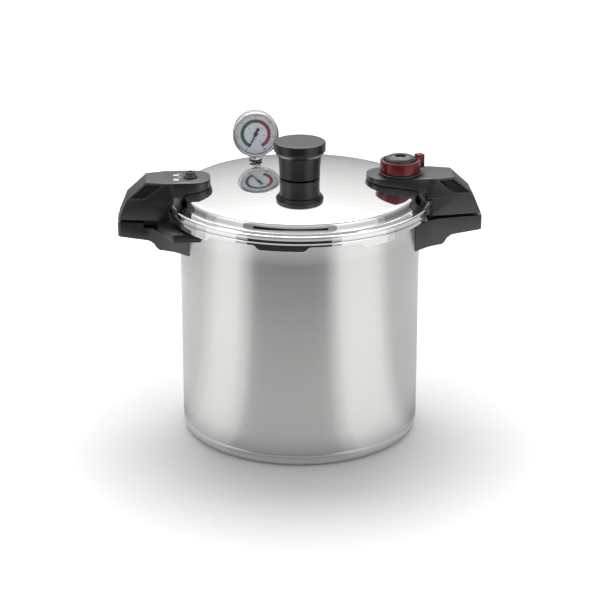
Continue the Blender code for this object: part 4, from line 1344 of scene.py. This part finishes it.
@dataclass
class Gauge:
    """Dial gauge on a stem at the back of the lid, facing the front."""

    turner: Turner
    finishes: Finishes
    marks_tree: bpy.types.NodeTree
    centre: Point = GAUGE_AT
    height: float = 0.3440
    dial_radius: float = 0.0265
    dial_face: float = 0.0060
    tick_count: int = 31
    tick_width: float = 0.00032
    figures: tuple[int, ...] = (0, 5, 10, 15, 20, 25, 30)
    start: float = math.radians(-150.0)
    sweep: float = math.radians(300.0)

    def facing(self, forward: float = 0.0) -> Matrix:
        """Place that turns local Z to face the front.

        Args:
            forward: Distance ahead of the gauge's stem.

        Returns:
            The place.
        """
        x, y = self.centre
        place = Matrix.Translation((x, y - forward, DATUM + self.height))
        return place @ Matrix.Rotation(math.pi / 2, 4, "X")

    def round_piece(
        self, name: str, profile: list[Point], material: bpy.types.Material, closed: bool = False
    ) -> bpy.types.Object:
        """Turn a piece about the gauge's own axis.

        Args:
            name: The piece's name.
            profile: Its (radius, distance ahead) points.
            material: Its material.
            closed: Whether the profile is a loop.

        Returns:
            The piece.
        """
        piece = self.turner.turn(name, profile, material, 128, closed=closed)
        piece.data.transform(self.facing())
        return piece

    def build_case(self) -> None:
        """Case, bezel, window and fittings."""
        case = softened("gauge_case", self.finishes.case, 0.0008)
        fit(case, Body.LID, Slot.STEEL, "gauge_case")
        rim = [(0.0300, 0.0068), (0.0300, 0.0118), (0.0297, 0.0125), (0.0290, 0.0130), (0.0279, 0.0130)]
        rim += [(0.0271, 0.0126), (0.0266, 0.0119), (0.0265, 0.0113), (0.0286, 0.0113), (0.0286, 0.0068)]
        bezel = self.round_piece("gauge_rim", rim, self.finishes.case, True)
        fit(bezel, Body.LID, Slot.STEEL, "gauge_bezel")
        pane = [(0.0, 0.0112), (0.0120, 0.0112), (0.0282, 0.0111), (0.0284, 0.0109), (0.0284, 0.0099)]
        pane += [(0.0282, 0.0097), (0.0120, 0.0097), (0.0, 0.0097)]
        fit(self.round_piece("gauge_pane", pane, self.finishes.glass), Body.LID, Slot.GLASS, "gauge_lens")
        fit(softened("gauge_stem", self.finishes.steel, 0.0005), Body.LID, Slot.STEEL, "gauge_stem")
        dress(self.finishes.rubber, "gauge_washer")
        dress(self.finishes.brass, "gauge_nut", "gauge_movement_plate")
        dress(self.finishes.brass, "gauge_sector_gear", "gauge_bourdon_tube")
        dress(self.finishes.needle, "gauge_needle")

    def build_dial(self) -> None:
        """Card with its arcs, ticks and figures."""
        x, y = self.centre
        card = DialCard((x, y, DATUM + self.height), self.dial_radius).material()
        face = self.dial_face
        disc = [(0.0012, face), (0.0264, face), (0.0265, face - 0.0001), (0.0265, face - 0.0007)]
        disc += [(0.0264, face - 0.0008), (0.0012, face - 0.0008)]
        fit(self.round_piece("dial_card", disc, card, True), Body.LID, Slot.DIAL, "gauge_dial")
        for name, radius, length in (("ticks_outer", 0.0206, 0.0014), ("ticks_inner", 0.0141, 0.0012)):
            ticks = marks(
                name,
                self.marks_tree,
                self.facing(face + 0.00002),
                self.finishes.ink,
                Count=self.tick_count,
                Radius=radius,
                Start=self.start,
                Sweep=self.sweep,
                Length=length,
                Width=self.tick_width,
                Long_Every=5.0,
            )
            fit(ticks, Body.LID, Slot.NEEDLE)
        figures = []
        for i, figure in enumerate(self.figures):
            angle = self.start + self.sweep * i / (len(self.figures) - 1)
            for radius, size in ((0.0237, 0.0038), (0.0112, 0.0027)):
                spot = Matrix.Translation((radius * math.sin(angle), radius * math.cos(angle), 0.00003))
                figures.append(lettering(str(figure), size, self.facing(face) @ spot, 0.00003))
        fit(joined("dial_figures", figures, self.finishes.ink), Body.LID, Slot.NEEDLE)

    def build(self) -> None:
        """Build and dress the gauge."""
        self.build_case()
        self.build_dial()


# ------------------------------------------------------------------ vent and lock

@dataclass
class Regulator:
    """Pressure regulator on the vent pipe, with its red selector ring."""

    turner: Turner
    finishes: Finishes
    marks_tree: bpy.types.NodeTree
    centre: Point = REGULATOR_AT
    top: float = 0.3370
    mark_count: int = 9
    mark_radius: float = 0.0099
    valve_travel: float = 0.0016

    def build(self) -> None:
        """Build and dress the regulator and its vent pipe."""
        base = self.turner.renew("regulator_base", self.finishes.phenolic, 0.0005, self.centre, 96)
        fit(base, Body.LID, Slot.PHENOLIC, "regulator_base")
        dome = softened("regulator_housing", self.finishes.knob, 0.0012)
        fit(dome, Body.LID, Slot.PHENOLIC, "regulator_housing")
        x, y = self.centre
        ticks = marks(
            "setting_marks",
            self.marks_tree,
            Matrix.Translation((x, y, DATUM + self.top)),
            self.finishes.white,
            Count=self.mark_count,
            Radius=self.mark_radius,
            Start=math.radians(112.0),
            Sweep=math.radians(136.0),
            Length=0.0019,
            Width=0.0009,
            Height=0.0003,
            Long_Every=4.0,
        )
        fit(ticks, Body.LID, Slot.DIAL)
        ring = softened("selector_ring", self.finishes.red, 0.0007)
        fit(ring, Body.SELECTOR, Slot.RED, "selector_ring")
        valve = softened("regulator_valve", self.finishes.steel, 0.0004)
        fit(valve, Body.VALVE, Slot.STEEL, "regulator_valve")
        fit(softened("vent_pipe", self.finishes.steel, 0.0003), Body.LID, Slot.STEEL, "vent_pipe")
        low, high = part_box("regulator_spring")
        spring = softened("regulator_spring", self.finishes.steel, 0.00005)
        fit(spring, Body.LID, Slot.STEEL, "regulator_spring")
        keep = 1.0 - self.valve_travel / (high.z - low.z)
        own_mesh(spring)
        dress(self.finishes.brass, "vent_nut")


@dataclass
class Lock:
    """Lock pin in its bush and collar on the left handle."""

    turner: Turner
    finishes: Finishes
    centre: Point = LOCK_AT

    def build(self) -> None:
        """Build and dress the lock."""
        collar = self.turner.renew("lock_collar", self.finishes.phenolic, 0.0005, self.centre, 64)
        fit(collar, Body.LID, Slot.PHENOLIC, "lock_collar")
        fit(softened("lock_bush", self.finishes.steel, 0.0003), Body.LID, Slot.STEEL, "lock_bush")
        fit(softened("lock_pin", self.finishes.steel, 0.0003), Body.LOCK_PIN, Slot.STEEL, "lock_pin")
        dress(self.finishes.rubber, "lock_pin_seal")


@dataclass
class Rack:
    """Perforated rack in the bottom of the pot."""

    finishes: Finishes

    def build(self) -> None:
        """Build and dress the rack."""
        sheet = softened("canning_rack", self.finishes.brushed, 0.0004)
        fit(sheet, Body.RACK, Slot.BRUSHED, "canning_rack")


# ------------------------------------------------------------------ studio

@dataclass(frozen=True)
class Sector:
    """Part of the ring of cards round the canner, between two azimuths in degrees.

    Near and far are the brightness of its floor, and upright that of its upright card.
    """

    start: float
    end: float
    near: float
    far: float
    upright: float
    is_low: bool = False

    def upright_strength(self, low: float, high: float) -> float:
        """Brightness of a strip of the upright card, which grows with height.

        Args:
            low: The strip's foot.
            high: Its top.

        Returns:
            The brightness; above a low card it is that of a pale wall.
        """
        share = 0.20 + 0.60 * (0.5 * (low + high)) ** 0.8
        if self.is_low:
            return self.upright if high < 0.8 else 0.6 * share
        return self.upright * share

    def floor_rings(self) -> list[Place]:
        """Rings of the floor, darker under the pot's edge.

        Returns:
            Inner radius, outer radius and brightness of each.
        """
        near = self.near
        rings = [(0.160, 0.185, 0.5 * near), (0.185, 0.230, 0.75 * near), (0.230, 0.500, near)]
        return rings + [(0.500, 0.790, 1.15 * near), (0.790, 2.4, self.far)]


SECTORS = (
    Sector(-56.0, -46.0, 0.85, 0.45, 0.45),
    Sector(-46.0, 22.0, 0.54, 0.03, 0.015, is_low=True),
    Sector(22.0, 30.0, 0.75, 0.50, 0.50),
    Sector(30.0, 72.0, 1.00, 1.00, 1.30),
    Sector(72.0, 80.0, 0.80, 0.75, 0.80),
    Sector(80.0, 140.0, 0.62, 0.60, 0.50),
    Sector(140.0, 220.0, 0.80, 0.45, 1.00),
    Sector(220.0, 262.0, 0.72, 0.55, 0.65),
    Sector(262.0, 274.0, 0.85, 0.70, 0.95),
    Sector(274.0, 304.0, 1.00, 1.00, 1.30),
)


@dataclass
class Studio:
    """Pale floor, a soft panel, and cards that only show in gloss."""

    aim: Place = (0.0003, 0.0, 0.1670)
    azimuth: float = math.radians(-3.574)
    elevation: float = math.radians(20.68)
    distance: float = 2.6
    lens: float = 120.6
    sensor: float = 36.0
    floor_size: float = 30.0
    air: float = 0.55
    card_radius: float = 2.4
    card_height: float = 2.6
    card_rows: int = 24
    card_lift: float = 0.0006

    def around(self, azimuth: float, elevation: float, distance: float) -> Vector:
        """Point seen from the aim in a direction.

        Args:
            azimuth: Its azimuth, with 0 towards the front.
            elevation: Its elevation.
            distance: Its distance.

        Returns:
            The point.
        """
        across = math.sin(azimuth) * math.cos(elevation)
        ahead = -math.cos(azimuth) * math.cos(elevation)
        return Vector(self.aim) + distance * Vector((across, ahead, math.sin(elevation)))

    def add_camera(self) -> None:
        """Camera at the viewing angle."""
        data = bpy.data.cameras.new("camera")
        data.lens = self.lens
        data.sensor_width = self.sensor
        camera = bpy.data.objects.new("camera", data)
        bpy.context.scene.collection.objects.link(camera)
        camera.location = self.around(self.azimuth, self.elevation, self.distance)
        camera.rotation_euler = (camera.location - Vector(self.aim)).to_track_quat("Z", "Y").to_euler()
        bpy.context.scene.camera = camera

    def panel(self, name: str, degrees: Point, distance: float, size: Point, radiance: float) -> None:
        """Add a soft rectangular light that faces the aim.

        Args:
            name: The light's name.
            degrees: Its azimuth and elevation.
            distance: Its distance from the aim.
            size: Its width and height.
            radiance: How bright its face is.
        """
        data = bpy.data.lights.new(name, "AREA")
        data.shape = "RECTANGLE"
        data.size, data.size_y = size
        data.energy = radiance * math.pi * size[0] * size[1]
        light = bpy.data.objects.new(name, data)
        bpy.context.scene.collection.objects.link(light)
        light.location = self.around(math.radians(degrees[0]), math.radians(degrees[1]), distance)
        light.rotation_euler = (light.location - Vector(self.aim)).to_track_quat("Z", "Y").to_euler()
        light.visible_camera = False

    def glow(self, name: str, strength: float) -> bpy.types.Material:
        """Plain emitting material.

        Args:
            name: Its name.
            strength: How bright it is.

        Returns:
            The material.
        """
        material = bpy.data.materials.new(name)
        material.use_nodes = True
        tree = material.node_tree
        tree.nodes.clear()
        shine = tree.nodes.new("ShaderNodeEmission")
        shine.inputs["Strength"].default_value = strength
        out = tree.nodes.new("ShaderNodeOutputMaterial")
        tree.links.new(shine.outputs[0], out.inputs["Surface"])
        return material

    def sheet(
        self, name: str, low: Point, high: Point, degrees: Point, strength: float
    ) -> bpy.types.Object:
        """Add a curved card between two (radius, height) lines, seen only in gloss.

        Args:
            name: The card's name.
            low: Radius and height of its first edge.
            high: Radius and height of its second edge.
            degrees: First and last azimuth.
            strength: How bright it is.

        Returns:
            The card.
        """
        verts = []
        steps = 32
        for radius, height in (low, high):
            for i in range(steps + 1):
                azimuth = math.radians(degrees[0] + (degrees[1] - degrees[0]) * i / steps)
                verts.append((radius * math.sin(azimuth), -radius * math.cos(azimuth), height))
        faces = [(i, i + 1, steps + 2 + i, steps + 1 + i) for i in range(steps)]
        mesh = bpy.data.meshes.new(name)
        mesh.from_pydata(verts, [], faces)
        card = add_piece(name, mesh, self.glow(name, strength))
        card.visible_camera = False
        card.visible_diffuse = False
        card.visible_shadow = False
        card.visible_transmission = False
        return card

    def floor_paint(self) -> bpy.types.Material:
        """Pale floor whose painted glow grows away from the canner: painted shade at its foot, no edge far
        off.

        Returns:
            The material.
        """
        paint = Paint("floor_white", specular_ior_level=0.2, emission_strength=1.0)
        where = paint.node("ShaderNodeTexCoord", output="Object")
        reach = paint.node("ShaderNodeVectorMath", {0: where}, 1, operation="LENGTH")
        # Painted light: the floor glows more away from the canner, a painted shade near its foot and a
        # painted brightening far off
        limits = {"Value": reach, "From Min": 0.14, "From Max": 0.46}
        painted_shade_glow = paint.node("ShaderNodeMapRange", limits, interpolation_type="SMOOTHSTEP")
        limits = {"Value": reach, "From Min": 1.0, "From Max": 4.0}
        far = paint.node("ShaderNodeMapRange", limits, interpolation_type="SMOOTHSTEP")
        cloud = paint.noise((3.0, 3.0, 3.0), 2.0)
        paint.lay("Base Color", paint.blend(cloud, (0.85, 0.85, 0.845), (0.86, 0.86, 0.86)))
        paint.lay("Roughness", cloud * 0.1 + 0.6)
        paint.lay("Emission Color", paint.blend(painted_shade_glow * 0.36 + far * 0.34, (0.0, 0.0, 0.0), (1.0, 1.0, 1.0)))
        return paint.material

    def add_floor(self) -> None:
        """Large pale floor, and a white surround that only the camera sees."""
        half = self.floor_size
        corners = [(x * half, y * half, FLOOR) for x, y in ((-1, -1), (1, -1), (1, 1), (-1, 1))]
        mesh = bpy.data.meshes.new("floor")
        mesh.from_pydata(corners, [], [(0, 1, 2, 3)])
        floor = add_piece("floor", mesh, self.floor_paint())
        surround = self.sheet("surround", (25.0, -1.0), (25.0, 25.0), (0.0, 360.0), 1.2)
        surround.visible_camera = True
        surround.visible_glossy = False

    def add_reflections(self) -> None:
        """Cards that only gloss shows: dark ahead, bright strips beside it, greyer at the sides."""
        rows, radius, lift = self.card_rows, self.card_radius, self.card_lift
        levels = [self.card_height * (i / rows) ** 1.5 for i in range(rows + 1)]
        for sector in SECTORS:
            name = f"card_{int(sector.start) % 360:03d}"
            degrees = (sector.start, sector.end)
            for i, (low, high) in enumerate(zip(levels, levels[1:])):
                strength = sector.upright_strength(low, high)
                self.sheet(f"{name}_up_{i}", (radius, low), (radius, high), degrees, strength)
            for i, (low, high, strength) in enumerate(sector.floor_rings()):
                self.sheet(f"{name}_{i}", (low, lift), (high, lift), degrees, strength)

    def build(self) -> None:
        """Set the studio up."""
        scene = bpy.context.scene
        scene.view_settings.view_transform = "Standard"
        world = bpy.data.worlds.new("studio")
        world.use_nodes = True
        background = world.node_tree.nodes["Background"]
        background.inputs["Color"].default_value = (1.0, 1.0, 1.0, 1.0)
        background.inputs["Strength"].default_value = self.air
        scene.world = world
        self.add_floor()
        self.panel("top_panel", (180.0, 62.0), 2.6, (2.6, 2.0), 3.2)
        self.add_reflections()
        self.add_camera()


def main() -> None:
    """Build everything in order."""
    logging.basicConfig(level=logging.INFO, format="%(message)s")
    finishes = Finishes()
    turner = Turner(make_turning_tree())
    marks_tree = make_marks_tree()
    Studio().build()
    Pot(turner, finishes).build()
    Rack(finishes).build()
    Lid(turner, finishes).build()
    LidHandles(finishes).build()
    Knob(turner, finishes).build()
    Gauge(turner, finishes, marks_tree).build()
    Regulator(turner, finishes, marks_tree).build()
    Lock(turner, finishes).build()
    LOG.info("canner built")


if __name__ == "__main__":
    main()
